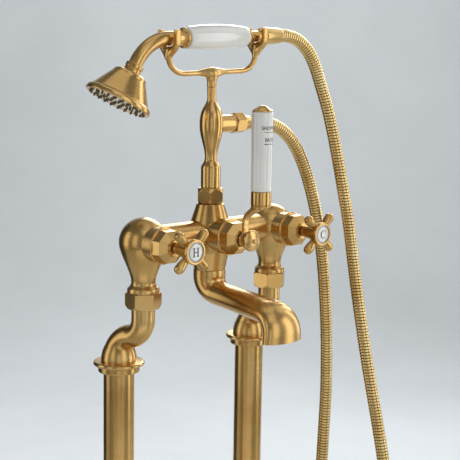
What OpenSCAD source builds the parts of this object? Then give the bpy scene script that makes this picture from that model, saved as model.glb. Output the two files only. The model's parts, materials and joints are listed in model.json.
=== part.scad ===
// Freestanding bath shower mixer: two floor standpipes, swan necks, a cast valve body with cross
// handles and a lever diverter, a fan spout, a riser with a cradle, and a handset on a ribbed hose.
// Millimetres. +Z is up, -Y is the bath side, +X is the cold side. The origin lies on the floor,
// midway between the standpipes.

/* [Standpipes] */
// Distance between the standpipe centres
pipe_centres = 188; // [176:1:204]
// Outer diameter of a standpipe
pipe_d = 32; // [28:1:34]
// Wall of a standpipe
pipe_wall = 1.5; // [1:0.25:2.5]
// Height of the collar's seat on top of the standpipes
pipe_h = 671; // [600:1:760]
// Diameter of the floor flange
floor_flange_d = 78; // [74:1:90]
// Thickness of the floor flange
floor_flange_t = 5; // [4:0.5:8]
// Height of the floor flange with its boss
floor_boss_h = 20; // [14:1:30]
// Distance between the two screw holes of a floor flange
floor_screw_gap = 60; // [58:1:62]
// Diameter of the floor screw holes
floor_screw_d = 5; // [4:0.5:6]
// Diameter of the collar plate on top of a standpipe
collar_d = 53; // [48:1:60]
// Thickness of the collar plate
collar_t = 4.5; // [3.5:0.5:7]
// Diameter of the ring below the collar plate
collar_ring_d = 43; // [38:1:46]
// Height of the ring below the collar plate
collar_ring_h = 7; // [4:0.5:12]

/* [Swan necks] */
// Outer diameter of a swan neck
swan_d = 24; // [21:0.5:25]
// Wall of a swan neck
swan_wall = 2; // [1.5:0.25:3]
// Forward reach of a swan neck
swan_reach = 34; // [28:1:40]
// Angle of each of the two bends
swan_bend = 80; // [70:1:85]
// Straight run between the foot and the lower bend
swan_foot_run = 8; // [4:1:20]
// Straight run between the upper bend and the union nut
swan_top_run = 11.5; // [5:0.5:25]
// Diameter of the domed foot
swan_foot_d = 37; // [34:0.5:42]
// Height of the domed foot
swan_foot_h = 24; // [20:1:27]
// Length of the spigot inside the standpipe
swan_spigot_l = 18; // [10:1:30]

/* [Unions] */
// Width of the union nut across its flats
union_af = 32; // [31.5:0.5:37]
// Height of the union nut
union_h = 16; // [15:0.5:17]
// Diameter of the valve tail's thread
tail_thread_d = 28.6; // [27.5:0.1:29]
// Length of the valve tail's thread
tail_thread_l = 7; // [6.5:0.5:9]
// Thickness of the union washer
union_washer_t = 2; // [1.5:0.25:3]

/* [Mixer body] */
// Distance between the valve axes
body_centres = 180; // [170:1:190]
// Radius of the valve bulbs
bulb_r = 24.8; // [23.5:0.1:27]
// Diameter of the neck below a bulb
bulb_neck_d = 24.6; // [23:0.2:27]
// Distance from the valve axis down to the narrowest neck
bulb_neck_drop = 41; // [38:1:46]
// Diameter of the flared foot of the body above the union nut
bulb_foot_d = 32.8; // [31:0.2:36]
// Diameter of the bridge tube
bridge_d = 30.4; // [27:0.2:33]
// Diameter of the inlet waterway
waterway_d = 15; // [12:0.5:17]
// Largest diameter of the centre hub
hub_d = 43; // [40:0.5:48]
// Height of the hub above the valve axis
hub_top = 32; // [29:0.5:38]
// Diameter of the hub's top face
hub_top_d = 29; // [26:0.5:33]
// Depth of the hub below the valve axis
hub_drop = 37.4; // [35:0.2:44]
// Diameter of the hub's bottom face
hub_bottom_d = 33.4; // [32:0.2:38]
// Diameter of the valve bosses at the front
valve_boss_d = 34.4; // [32:0.2:36]
// Reach of the valve bosses in front of the axis
valve_boss_l = 30; // [27:0.5:33]
// Diameter of the diverter boss at the front
diverter_boss_d = 36; // [34:0.5:40]
// Reach of the diverter boss in front of the axis
diverter_boss_l = 30; // [28:0.5:36]

/* [Valves] */
// Outer diameter of a cartridge
cartridge_d = 22; // [20:0.2:23]
// Diameter of the ceramic discs
disc_d = 17; // [15:0.2:17.4]
// Thickness of each ceramic disc
disc_t = 3; // [2:0.25:4]
// Diameter of a valve spindle
spindle_d = 8; // [7:0.2:8.4]
// Diameter of the spindle's splined end
spline_d = 6.8; // [6:0.1:6.9]
// Width of a bonnet across the corners of its octagon
bonnet_d = 36; // [34:0.2:40]
// Length of a bonnet from its base ring to its front collar
bonnet_l = 19.5; // [17:0.5:24]
// Diameter of the collar at the bonnet's front
bonnet_collar_d = 16.4; // [14:0.2:18]

/* [Cross handles] */
// Distance from the valve axis to the front face of a handle
handle_front = 78.5; // [74:0.5:86]
// Diameter of the handle's rim round the index disc
handle_rim_d = 25.3; // [22:0.1:28]
// Radius of the cross over the arm tips
cross_r = 27; // [24:0.5:32]
// Diameter of an arm at its tip
arm_tip_d = 10; // [8:0.1:11]
// Diameter of an arm at its root
arm_root_d = 7.4; // [6:0.1:8]
// Diameter of the white index disc
index_d = 20.2; // [17:0.1:21]
// Thickness of the index disc
index_t = 3; // [2:0.25:4]

/* [Diverter] */
// Length of the diverter bonnet
diverter_bonnet_l = 20; // [18:0.5:22]
// Diameter of the diverter spindle
diverter_spindle_d = 10; // [8:0.5:11]
// Diameter of the cap on the diverter
cap_d = 21.8; // [19:0.2:25]
// Thickness of the lever strap
strap_t = 3; // [2:0.25:4]
// Width of the lever strap
strap_w = 8.5; // [8:0.5:12]
// Height of the strap's bend above the diverter axis
strap_rise = 22; // [18:1:28]
// Forward step of the strap from its eye to the lever's axis
strap_step = 21.5; // [19:0.5:26]
// Height of the ferrule's foot above the diverter axis
ferrule_foot = 38.3; // [36:0.1:44]
// Diameter of the lever's ferrule
ferrule_d = 20.6; // [19:0.2:24]
// Height of the lever's ferrule
ferrule_h = 13.6; // [10:0.2:18]
// Length of the porcelain lever
lever_l = 79.4; // [60:0.2:100]
// Diameter of the porcelain lever
lever_d = 20.2; // [17:0.2:21]

/* [Spout] */
// Diameter of the spout's collar
spout_d = 34; // [32:0.2:36]
// Reach of the spout's mouth in front of the hub's axis
spout_reach = 108; // [95:1:130]
// Radius of the spout's first bend
spout_bend_r = 18; // [17.5:0.5:24]
// Radius of the bend above the mouth
spout_nose_r = 20; // [18:0.5:24]
// Slope of the spout's arm below the horizontal
spout_slope = 5; // [2:0.5:8]
// Width of the oval mouth
mouth_w = 50; // [42:1:58]
// Depth of the oval mouth
mouth_depth = 23; // [20:0.5:28]
// Wall of the spout
spout_wall = 2.5; // [2:0.25:3]

/* [Riser] */
// Width of the riser nut across its flats
riser_nut_af = 26; // [25.4:0.2:30]
// Height of the riser nut
riser_nut_h = 16; // [14:0.5:20]
// Diameter of the riser's lower cylinder
riser_d = 20.7; // [19.9:0.1:23]
// Diameter of the riser's lower neck
riser_neck_d = 12.8; // [12:0.1:15]
// Largest diameter of the riser's vase
vase_d = 24.7; // [23:0.1:28]
// Diameter of the riser's upper neck
riser_top_d = 9.2; // [8.6:0.1:11]
// Height of the riser's lower neck above the valve axis
riser_neck_z = 79.5; // [76:0.5:86]
// Height of the vase's widest point above the valve axis
vase_z = 114.5; // [110:0.5:120]
// Height of the riser's top above the valve axis
riser_top_z = 152.4; // [148:0.2:170]
// Bore of the riser
riser_bore = 8; // [6:0.5:9]
// Diameter of the hose outlet stub
stub_d = 18.5; // [17.5:0.1:21]
// Reach of the hose outlet stub from the riser's axis
stub_l = 28; // [25:0.5:36]

/* [Cradle] */
// Height of the cradle's rod above the riser's top
rod_rise = 15.2; // [14:0.2:20]
// Diameter of the cradle's rod
rod_d = 5.2; // [4.6:0.1:6.5]
// Largest diameter of the leaf swelling in the middle of the rod
leaf_d = 10.8; // [9:0.1:13]
// Half length of the leaf swelling
leaf_l = 22; // [18:1:28]
// Distance of a cup from the middle of the cradle
cup_x = 60.5; // [58:0.5:64]
// Radius of the hooks' bend
hook_r = 17; // [13:0.5:18]
// Thickness of a cup's prongs
prong_t = 4.6; // [3.5:0.1:5.5]
// Width of a cup along the rod
cup_w = 6.4; // [5:0.1:7.5]
// Height of the prong tips above the handset's axis
prong_rise = 6; // [2:0.5:8]
// Rise of the cradle at its hose end, in degrees
cradle_tilt = 1.8; // [0:0.1:3]

/* [Handset] */
// Height of the handset's axis above the cradle's rod
handset_rise = 35.7; // [34:0.1:42]
// Turn of the handset about its own axis, in degrees
handset_roll = 8; // [0:1:12]
// Diameter of the curved neck
neck_d = 13; // [12:0.1:14]
// Bend radius of the neck
neck_bend_r = 43.5; // [38:0.5:52]
// Angle of the neck's bend
neck_bend = 61.4; // [50:0.2:75]
// Distance from the cradle's middle to the start of the bend
neck_start = 59; // [57:0.5:62]
// Largest diameter of the porcelain grip
grip_d = 26; // [23:0.2:29]
// Diameter of the grip's front end
grip_front_d = 20; // [18:0.2:22]
// Diameter of the grip's rear end
grip_rear_d = 18.6; // [17:0.2:21]
// Distance from the cradle's middle to the grip's front end
grip_front = 35.5; // [32:0.5:40]
// Distance from the cradle's middle to the grip's rear end
grip_rear = 47.5; // [44:0.5:49]
// Diameter of the bead at the front of the grip
bead_d = 21.2; // [19:0.2:24]
// Diameter of the neck behind the grip
rear_neck_d = 11.4; // [11:0.1:12]
// Diameter of the rose's rim
rose_d = 68; // [62:1:84]
// Length of the rose from its collar to its rim
rose_l = 31; // [28:0.5:40]
// Wall of the rose's shell
rose_wall = 2; // [1.5:0.25:2.5]
// Diameter of a spray hole
spray_d = 1.6; // [1.2:0.1:2]
// Number of rings of spray holes
spray_rings = 4; // [2:1:4]

/* [Hose] */
// Outer diameter of the hose
hose_d = 14; // [13:0.1:14.4]
// Bore of the hose
hose_bore = 8; // [6:0.5:9]
// Depth of the grooves between the ribs
rib_depth = 0.9; // [0.4:0.1:1.2]
// Number of ribs along the hose
rib_count = 200; // [40:1:200]

/* [Fits] */
// Radial clearance of parts that slide into each other
slip_fit = 0.05; // [0.03:0.01:0.1]
// Gap between moving pieces that do not touch
free_gap = 0.3; // [0.2:0.05:0.5]

/* [Hidden] */
$fn = 64;

hot = -1;
cold = 1;
brass = [0.74, 0.58, 0.32];
inner_brass = [0.66, 0.52, 0.3];
porcelain = [0.95, 0.95, 0.93];
ceramic = [0.85, 0.83, 0.78];
rubber = [0.12, 0.12, 0.12];
fibre = [0.45, 0.25, 0.18];
eps = 0.01;

// Swan neck: two equal bends between the standpipe and the valve tail
pipe_r = pipe_d / 2;
pipe_bore_r = pipe_r - pipe_wall;
swan_side = (pipe_centres - body_centres) / 2;
swan_offset = norm([swan_side, swan_reach]);
swan_yaw = atan2(swan_side, swan_reach);
swan_bend_r = swan_offset / (2 * (1 - cos(swan_bend)));
swan_z1 = swan_foot_run;
swan_z2 = swan_z1 + 2 * swan_bend_r * sin(swan_bend);
tail_lip = 4;
tail_flange_t = 3;
core_skin = 0.7;
relief_depth = 0.3;
swan_top = swan_z2 + swan_top_run + tail_lip + tail_flange_t;

// Heights of the union stack above the collar's seat
foot_flare = 10.2;
nut_top_gap = 0.5;
tail_end_z = pipe_h + swan_top + union_washer_t;
valve_z = tail_end_z + tail_thread_l + bulb_neck_drop + foot_flare;
body_y = -swan_reach;
valve_x = body_centres / 2;
pipe_x = pipe_centres / 2;
nut_bottom_z = pipe_h + swan_z2 + swan_top_run;

// Valve stack, measured forward from the valve axis
seat_z = 5;
seal_t = 2;
fixed_z = seat_z + seal_t;
moving_z = fixed_z + disc_t + slip_fit;
moving_end = moving_z + disc_t;
drive_flange_t = 3;
drive_z = moving_end + free_gap;
chamber_end = drive_z + drive_flange_t + free_gap;
cartridge_r = cartridge_d / 2;
cartridge_end = valve_boss_l + 6;
disc_r = disc_d / 2;
slot_w = 3;
slot_depth = 1.4;
spindle_r = spindle_d / 2;
spline_r = spline_d / 2;
bonnet_z = valve_boss_l + eps;
bonnet_front = bonnet_z + bonnet_l;
handle_back = bonnet_front + 2;
spline_end = handle_front - 15;
ledge_t = 2.5;
screw_head_t = 2.6;
screw_r = 2;
index_floor = handle_front - index_t - 0.4;

// Diverter stack, measured forward from the hub's axis
strap_z = diverter_boss_l + diverter_bonnet_l + 1.6;
cap_z = strap_z + strap_t + slip_fit;
cap_rim_z = cap_z + 6;
cap_front = cap_rim_z + 3.2;
cap_apex = cap_front + 2.6;
lever_fwd = strap_z + strap_t / 2 + strap_step;
rotor_r = 9.6;
rotor_bore_r = 10;
diverter_r = diverter_spindle_d / 2;
lever_rod_r = 2.6;
lever_foot = ferrule_foot + ferrule_h;
lever_head = lever_foot + lever_l;
dome_h = 6.2;

// Riser and cradle heights above the valve axis
thread_boss_d = 21.4;
riser_boss_top = hub_top + 10;
riser_washer_t = 1.5;
riser_tail_z = riser_boss_top + riser_washer_t;
riser_tail_t = 2.4;
riser_lip_z = riser_tail_z + riser_tail_t + slip_fit;
riser_nut_z = hub_top + 0.3;
riser_foot_z = riser_nut_z + riser_nut_h + 0.6;
riser_nut_turn = -13.7;
spigot_r = 3.2;
spigot_l = 9.5;
rod_z = riser_top_z + rod_rise;
axis_z = rod_z + handset_rise;
outlet_z = vase_z;
outlet_thread_r = 7.6;
outlet_thread_l = 10;
outlet_nut_x = stub_l + 1.4;
outlet_nut_l = 14;
outlet_cone_l = 10;
hose_x = outlet_nut_x + outlet_nut_l + outlet_cone_l;

// Handset: positions along its own axis, rose end at -x
neck_r = neck_d / 2;
neck_bore_r = 4.6;
tube_r = neck_bore_r - slip_fit;
tube_bore_r = 3.2;
tube_lap = 8;
bead_x = -grip_front - 2.6;
neck_end = bead_x - 5;
cap_t = 2.4;
rear_cap_d = grip_rear_d + 0.6;
rear_flange_x = 71;
rear_flange_t = 2.2;
rear_thread_r = 6.4;
rear_thread_l = 10;
hose_nut_x = rear_flange_x + rear_flange_t + slip_fit;
hose_nut_end = 97;
hose_nut_d = 19;
washer_t = 1.8;
rose_collar_s = 2.5;
rose_collar_l = 9;
rose_top = rose_collar_s + rose_collar_l + eps;
rose_rim = rose_top + rose_l;
plate_t = 1.8;
plate_sink = 1.2;
plate_r = rose_d / 2 - 3.6;
spray_pitch = 7.2;

// Points on a circular arc from angle a0 to a1
function arc(cx, cy, r, a0, a1, n = 10) =
    [for (i = [0:n]) let (a = a0 + (a1 - a0) * i / n) [cx + r * cos(a), cy + r * sin(a)]];

// Points on a cubic curve with two handles
function curve(p0, p1, p2, p3, n = 10) =
    [for (i = [0:n]) let (t = i / n, u = 1 - t)
        u * u * u * p0 + 3 * u * u * t * p1 + 3 * u * t * t * p2 + t * t * t * p3];

// Ring between two radii
module ring(r_out, r_in, h) {
    difference() {
        cylinder(r = r_out, h = h);
        translate([0, 0, -eps]) cylinder(r = r_in, h = h + 2 * eps);
    }
}

// Hexagon bar with its corners turned off at both ends; upper is the share of it at the top end
module hex_bar(af, h, chamfer = 1.2, slope = 0.8, upper = 1) {
    corner = af / sqrt(3);
    top = chamfer * upper;
    intersection() {
        cylinder(r = corner, h = h, $fn = 6);
        rotate_extrude() polygon([
            [0, 0], [corner - chamfer, 0], [corner, chamfer * slope],
            [corner, h - top * slope], [corner - top, h], [0, h]
        ]);
    }
}

// Frames: a standpipe's top, a valve axis and the diverter axis pointing forward, the riser's axis
module at_pipe(side) { translate([side * pipe_x, 0, 0]) children(); }
module at_tail(side) { translate([side * valve_x, body_y, 0]) children(); }
module at_valve(side) { translate([side * valve_x, body_y, valve_z]) rotate([90, 0, 0]) children(); }
module at_diverter() { translate([0, body_y, valve_z]) rotate([90, 0, 0]) children(); }
module at_hub() { translate([0, body_y, valve_z]) children(); }
module at_outlet() { translate([0, body_y, valve_z + outlet_z]) rotate([0, 90, 0]) children(); }
module at_handset() {
    at_hub() translate([0, 0, rod_z]) rotate([0, -cradle_tilt, 0])
        translate([0, 0, handset_rise]) rotate([handset_roll, 0, 0]) children();
}
// Along the handset's axis, with the local +z towards the hose
module along_handset(x) { at_handset() translate([x, 0, 0]) rotate([0, 90, 0]) children(); }
// At the neck's end, with the local +z along the spray
module at_rose() {
    at_handset()
        translate([-neck_start - neck_bend_r * sin(neck_bend), 0, -neck_bend_r * (1 - cos(neck_bend))])
            rotate([0, 270 - neck_bend, 0]) children();
}

// Standpipes

module floor_flange(side) {
    boss_r = pipe_r + 5.5;
    color(brass) at_pipe(side) difference() {
        rotate_extrude() polygon(concat(
            [[pipe_r + slip_fit, 0], [floor_flange_d / 2, 0], [floor_flange_d / 2, floor_flange_t - 1],
             [floor_flange_d / 2 - 1, floor_flange_t], [boss_r + 3, floor_flange_t]],
            arc(boss_r + 3, floor_flange_t + 3, 3, 270, 180, 6),
            [[boss_r, floor_boss_h - 2]],
            arc(boss_r - 2, floor_boss_h - 2, 2, 0, 90, 6),
            [[pipe_r + slip_fit, floor_boss_h]]));
        for (s = [-1, 1]) translate([0, s * floor_screw_gap / 2, -eps])
            cylinder(d = floor_screw_d, h = floor_flange_t + 2 * eps);
    }
}

module standpipe(side) {
    color(brass) at_pipe(side) ring(pipe_r, pipe_bore_r, pipe_h - 1);
}

// Collar that covers the pipe's end and carries the swan neck's foot
module pipe_collar(side) {
    plate_r0 = collar_d / 2;
    ring_r = collar_ring_d / 2;
    bore_r = pipe_r + slip_fit;
    edge = collar_t / 2;
    color(brass) at_pipe(side) translate([0, 0, pipe_h]) rotate_extrude() polygon(concat(
        [[bore_r, 0], [bore_r, -collar_t - collar_ring_h]],
        arc(ring_r - 1.5, -collar_t - collar_ring_h + 1.5, 1.5, -90, 0, 5),
        [[ring_r, -collar_t]],
        arc(plate_r0 - edge, -edge, edge, -90, 90, 10)));
}

// Two bends in the plane x-z, with straight ends, of radius r
module swan_sweep(r, below, above) {
    translate([0, 0, -below]) cylinder(r = r, h = swan_z1 + below);
    translate([swan_bend_r, 0, swan_z1]) rotate([90, 0, 0]) rotate([0, 0, 180 - swan_bend])
        rotate_extrude(angle = swan_bend) translate([swan_bend_r, 0]) circle(r = r);
    translate([swan_offset - swan_bend_r, 0, swan_z2]) rotate([90, 0, 0]) rotate([0, 0, -swan_bend])
        rotate_extrude(angle = swan_bend) translate([swan_bend_r, 0]) circle(r = r);
    translate([swan_offset, 0, swan_z2]) cylinder(r = r, h = swan_top - swan_z2 + above);
}

// Solid core across a joint between two runs of a tube, inside its wall
module joint_core(r, at, lean) {
    translate(at) rotate([0, lean, 0]) translate([0, 0, -1.5]) cylinder(r = r - core_skin, h = 3);
}

// Turned relief in a bore where two runs of it meet
module joint_relief(r, at, lean) {
    translate(at) rotate([0, lean, 0]) translate([0, 0, -1]) cylinder(r = r + relief_depth, h = 2);
}

module swan_neck(side) {
    r = swan_d / 2;
    foot_r = swan_foot_d / 2;
    yaw = side == hot ? -90 + swan_yaw : -90 - swan_yaw;
    color(brass) at_pipe(side) translate([0, 0, pipe_h]) rotate([0, 0, yaw]) difference() {
        union() {
            swan_sweep(r, 0, 0);
            joint_core(r, [0, 0, swan_z1], 0);
            joint_core(r, [swan_offset / 2, 0, (swan_z1 + swan_z2) / 2], swan_bend);
            joint_core(r, [swan_offset, 0, swan_z2], 0);
            rotate_extrude() polygon(concat(
                [[0, 0], [foot_r, 0], [foot_r, 1.5]],
                curve([foot_r, 1.5], [foot_r, swan_foot_h * 0.42], [r + 2, swan_foot_h * 0.8],
                      [r - 3, swan_foot_h], 12),
                [[0, swan_foot_h]]));
            translate([0, 0, -swan_spigot_l])
                cylinder(r = pipe_bore_r - slip_fit, h = swan_spigot_l + eps);
            translate([swan_offset, 0, swan_top - tail_flange_t])
                cylinder(r = tail_thread_d / 2 - 0.2, h = tail_flange_t);
        }
        swan_sweep(r - swan_wall, swan_spigot_l + eps, eps);
        joint_relief(r - swan_wall, [0, 0, swan_z1], 0);
        joint_relief(r - swan_wall, [swan_offset / 2, 0, (swan_z1 + swan_z2) / 2], swan_bend);
        joint_relief(r - swan_wall, [swan_offset, 0, swan_z2], 0);
    }
}

// Union nut: a lip under the swan neck's flange and a bore over the valve tail's thread
module union_nut(side) {
    turn = side == hot ? 6 : -8;
    color(brass) at_tail(side) translate([0, 0, nut_bottom_z]) rotate([0, 0, -90 - turn]) difference() {
        hex_bar(union_af, union_h, 2.3, 1.6, 0.45);
        translate([0, 0, -eps]) cylinder(r = swan_d / 2 + slip_fit, h = union_h);
        translate([0, 0, tail_lip]) cylinder(r = tail_thread_d / 2 + slip_fit, h = union_h);
    }
}

module union_washer(side) {
    color(fibre) at_tail(side) translate([0, 0, pipe_h + swan_top])
        ring(tail_thread_d / 2 - 0.5, waterway_d / 2 + 1, union_washer_t);
}

// Mixer body

module bulb(side) {
    neck_r0 = bulb_neck_d / 2;
    foot_r = bulb_foot_d / 2;
    low = -17;
    p0 = bulb_r * [cos(low), sin(low)];
    thread_r = tail_thread_d / 2;
    neck_z = -bulb_neck_drop;
    foot_z = neck_z - foot_flare;
    translate([side * valve_x, 0, 0]) rotate_extrude() polygon(concat(
        arc(0, 0, bulb_r, 90, low, 16),
        curve(p0, p0 + 13 * [sin(low), -cos(low)], [neck_r0, neck_z + 9], [neck_r0, neck_z], 12),
        curve([neck_r0, neck_z], [neck_r0, neck_z - 4], [foot_r, neck_z - 4], [foot_r, neck_z - 7.4], 8),
        arc(foot_r - 1, foot_z + 1, 1, 0, -90, 4),
        [[thread_r, foot_z], [thread_r, foot_z - tail_thread_l], [0, foot_z - tail_thread_l]]));
}

module hub() {
    r = hub_d / 2;
    top_r = hub_top_d / 2;
    low_r = hub_bottom_d / 2;
    rotate_extrude() polygon(concat(
        [[0, riser_boss_top], [thread_boss_d / 2, riser_boss_top], [thread_boss_d / 2, hub_top],
         [top_r - 0.8, hub_top]],
        arc(top_r - 0.8, hub_top - 0.8, 0.8, 90, 15, 4),
        curve([r - 1, hub_top - 19], [r, hub_top - 24], [r, -8], [r - 1.2, -18], 10),
        arc(low_r - 0.8, -hub_drop + 0.8, 0.8, -10, -90, 4),
        [[0, -hub_drop]]));
}

module body_waterways() {
    bore_r = waterway_d / 2;
    deep = bulb_neck_drop + foot_flare + tail_thread_l + 1;
    for (side = [hot, cold]) {
        translate([side * valve_x, 0, -deep]) cylinder(r = bore_r, h = deep);
        translate([side * valve_x, 0, 0]) rotate([90, 0, 0]) {
            translate([0, 0, -4]) cylinder(r = bore_r, h = seat_z + 4 + eps);
            translate([0, 0, seat_z]) cylinder(r = cartridge_r + slip_fit, h = valve_boss_l);
        }
    }
    translate([-valve_x, 0, 0]) rotate([0, 90, 0]) cylinder(r = bore_r, h = 2 * valve_x);
    rotate([90, 0, 0]) translate([0, 0, -rotor_bore_r])
        cylinder(r = rotor_bore_r, h = diverter_boss_l + rotor_bore_r + eps);
    cylinder(r = riser_bore / 2, h = riser_boss_top + 1);
    translate([0, 0, -hub_drop - 1]) cylinder(r = bore_r, h = hub_drop);
    translate([0, 0, -hub_drop - eps]) cylinder(r = spout_tail_r + slip_fit, h = spout_tail_l + 0.5);
}

module mixer_body() {
    color(brass) at_hub() difference() {
        union() {
            bulb(hot);
            bulb(cold);
            translate([-valve_x, 0, 0]) rotate([0, 90, 0]) cylinder(d = bridge_d, h = body_centres);
            hub();
            for (side = [hot, cold]) translate([side * valve_x, 0, 0]) rotate([90, 0, 0])
                cylinder(d = valve_boss_d, h = valve_boss_l);
            rotate([90, 0, 0]) cylinder(d = diverter_boss_d, h = diverter_boss_l);
        }
        body_waterways();
    }
}

// Valves

module seat_seal(side) {
    color(rubber) at_valve(side) translate([0, 0, seat_z]) ring(disc_r, waterway_d / 2 - 1.5, seal_t);
}

// Ceramic disc with two opposite ports
module port_disc(r, turn) {
    difference() {
        cylinder(r = r, h = disc_t);
        for (s = [-1, 1]) rotate([0, 0, turn]) translate([s * r * 0.52, 0, -eps])
            cylinder(r = r * 0.26, h = disc_t + 2 * eps);
    }
}

module fixed_disc(side) {
    color(ceramic) at_valve(side) translate([0, 0, fixed_z]) port_disc(disc_r, 0);
}

module moving_disc(side) {
    color(ceramic) at_valve(side) translate([0, 0, moving_z]) difference() {
        port_disc(disc_r - slip_fit, 90);
        translate([-disc_d, -slot_w / 2, disc_t - slot_depth]) cube([2 * disc_d, slot_w, slot_depth + eps]);
    }
}

module cartridge(side) {
    color(inner_brass) at_valve(side) difference() {
        translate([0, 0, fixed_z]) cylinder(r = cartridge_r, h = cartridge_end - fixed_z);
        translate([0, 0, fixed_z - eps]) cylinder(r = disc_r + slip_fit, h = chamber_end - fixed_z);
        translate([0, 0, fixed_z]) cylinder(r = spindle_r + slip_fit, h = cartridge_end);
    }
}

// Spindle: drive tongue, flange, shaft and splined end with a tapped hole
module spindle(side) {
    tongue_z = moving_end - slot_depth + slip_fit;
    tongue_l = disc_d * 0.8;
    tongue_w = slot_w - 2 * slip_fit;
    color(inner_brass) at_valve(side) difference() {
        union() {
            translate([-tongue_l / 2, -tongue_w / 2, tongue_z]) cube([tongue_l, tongue_w, drive_z - tongue_z + eps]);
            translate([0, 0, drive_z]) cylinder(r = disc_r - free_gap, h = drive_flange_t);
            translate([0, 0, drive_z]) cylinder(r = spindle_r, h = handle_back - drive_z);
            translate([0, 0, drive_z]) cylinder(r = spline_r, h = spline_end - drive_z);
        }
        translate([0, 0, spline_end - 9]) cylinder(r = screw_r + slip_fit, h = 10);
    }
}

// Octagonal cover: base ring, eight long flats, eight tapering facets and a round front collar
module octagon_cover(d, l, base_z, collar_dia, collar_l) {
    ring_l = l * 0.13;
    flats_l = l * 0.5;
    taper_l = l - ring_l - flats_l - collar_l;
    mid_r = d * 0.47;
    translate([0, 0, base_z]) {
        rotate_extrude() polygon(concat(
            [[0, 0], [d / 2 - 0.6, 0]],
            arc(d / 2 - 0.6, ring_l / 2, ring_l / 2, -90, 90, 8),
            [[0, ring_l]]));
        rotate([0, 0, 22.5]) {
            cylinder(r1 = d / 2, r2 = mid_r, h = ring_l + flats_l, $fn = 8);
            translate([0, 0, ring_l + flats_l - eps])
                cylinder(r1 = mid_r, r2 = collar_dia / 2 + 1.4, h = taper_l + eps, $fn = 8);
        }
        cylinder(d = collar_dia, h = l);
    }
}

module bonnet(side) {
    color(brass) at_valve(side) difference() {
        octagon_cover(bonnet_d, bonnet_l, bonnet_z, bonnet_collar_d, 1.8);
        translate([0, 0, bonnet_z - eps]) cylinder(r = cartridge_r + slip_fit, h = cartridge_end - bonnet_z + slip_fit);
        cylinder(r = spindle_r + free_gap, h = bonnet_front + 1);
    }
}

// One arm: a finger that swells towards its round tip
module cross_arm() {
    tip_r = arm_tip_d / 2;
    root_r = arm_root_d / 2;
    inner = 7;
    tip = cross_r - tip_r;
    rotate_extrude() polygon(concat(
        [[0, inner], [root_r, inner]],
        curve([root_r, inner + 1], [root_r, inner + 6], [tip_r, tip - 6], [tip_r, tip], 10),
        arc(0, tip, tip_r, 6, 90, 10)));
}

module cross_handle(side) {
    rim_r = handle_rim_d / 2;
    arms_z = handle_front - 6.5;
    sleeve_r = spline_r + 2.4;
    color(brass) at_valve(side) difference() {
        union() {
            rotate_extrude() polygon(concat(
                [[0, handle_back], [sleeve_r - 0.6, handle_back], [sleeve_r, handle_back + 0.8]],
                curve([sleeve_r, handle_back + 2], [sleeve_r + 0.6, handle_back + 8],
                      [rim_r - 3.4, handle_front - 12], [rim_r - 0.6, handle_front - 4], 10),
                arc(rim_r - 0.8, handle_front - 2.2, 0.8, -40, 0, 4),
                arc(rim_r - 1.2, handle_front - 1.2, 1.2, 0, 90, 6),
                [[0, handle_front]]));
            for (i = [0:3]) translate([0, 0, arms_z]) rotate([0, 0, 45 + 90 * i]) rotate([0, 90, 0]) cross_arm();
        }
        translate([0, 0, handle_back - eps]) cylinder(r = spline_r + slip_fit, h = spline_end - handle_back + 0.3);
        cylinder(r = screw_r + 0.3, h = index_floor);
        translate([0, 0, spline_end + ledge_t]) cylinder(r = screw_r + 2.2, h = handle_front);
        translate([0, 0, index_floor]) cylinder(r = index_d / 2 + slip_fit, h = handle_front);
    }
}

module handle_screw(side) {
    head_z = spline_end + ledge_t;
    color(inner_brass) at_valve(side) difference() {
        union() {
            translate([0, 0, spline_end - 8]) cylinder(r = screw_r, h = head_z - spline_end + 8 + eps);
            translate([0, 0, head_z]) cylinder(r = screw_r + 1.8, h = screw_head_t);
        }
        translate([-5, -0.4, head_z + screw_head_t - 0.9]) cube([10, 0.8, 2]);
    }
}

module index_disc(side) {
    r = index_d / 2;
    color(porcelain) at_valve(side) translate([0, 0, index_floor]) rotate_extrude() polygon(concat(
        [[0, 0], [r, 0], [r, index_t - 0.6]],
        curve([r, index_t - 0.6], [r - 0.4, index_t], [r / 2, index_t + 0.35], [0, index_t + 0.35], 8)));
}

// Diverter

// Rotor with a cross port, on a spindle that carries the strap
module diverter_rotor() {
    color(inner_brass) at_diverter() difference() {
        union() {
            translate([0, 0, -rotor_bore_r + 1]) cylinder(r = rotor_r, h = diverter_boss_l + rotor_bore_r - 4);
            cylinder(r = diverter_r, h = strap_z);
            cylinder(r = diverter_r - 1, h = cap_z + 4);
        }
        rotate([0, 90, 0]) translate([0, 0, -rotor_r - 1]) cylinder(r = 5, h = rotor_r * 2 + 2);
        rotate([90, 0, 0]) cylinder(r = 5, h = rotor_r + 1);
    }
}

module diverter_seal() {
    color(rubber) at_diverter() translate([0, 0, diverter_boss_l + 4]) rotate_extrude()
        translate([diverter_r + slip_fit + 1.2, 0]) circle(r = 1.2);
}

module diverter_bonnet() {
    gland_r = diverter_r + 2.6;
    color(brass) at_diverter() difference() {
        octagon_cover(diverter_boss_d + 0.6, diverter_bonnet_l, diverter_boss_l + eps, diverter_spindle_d + 8, 1.5);
        cylinder(r = diverter_r + slip_fit, h = strap_z + 1);
        translate([0, 0, diverter_boss_l]) cylinder(r = gland_r, h = 5.4);
    }
}

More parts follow.
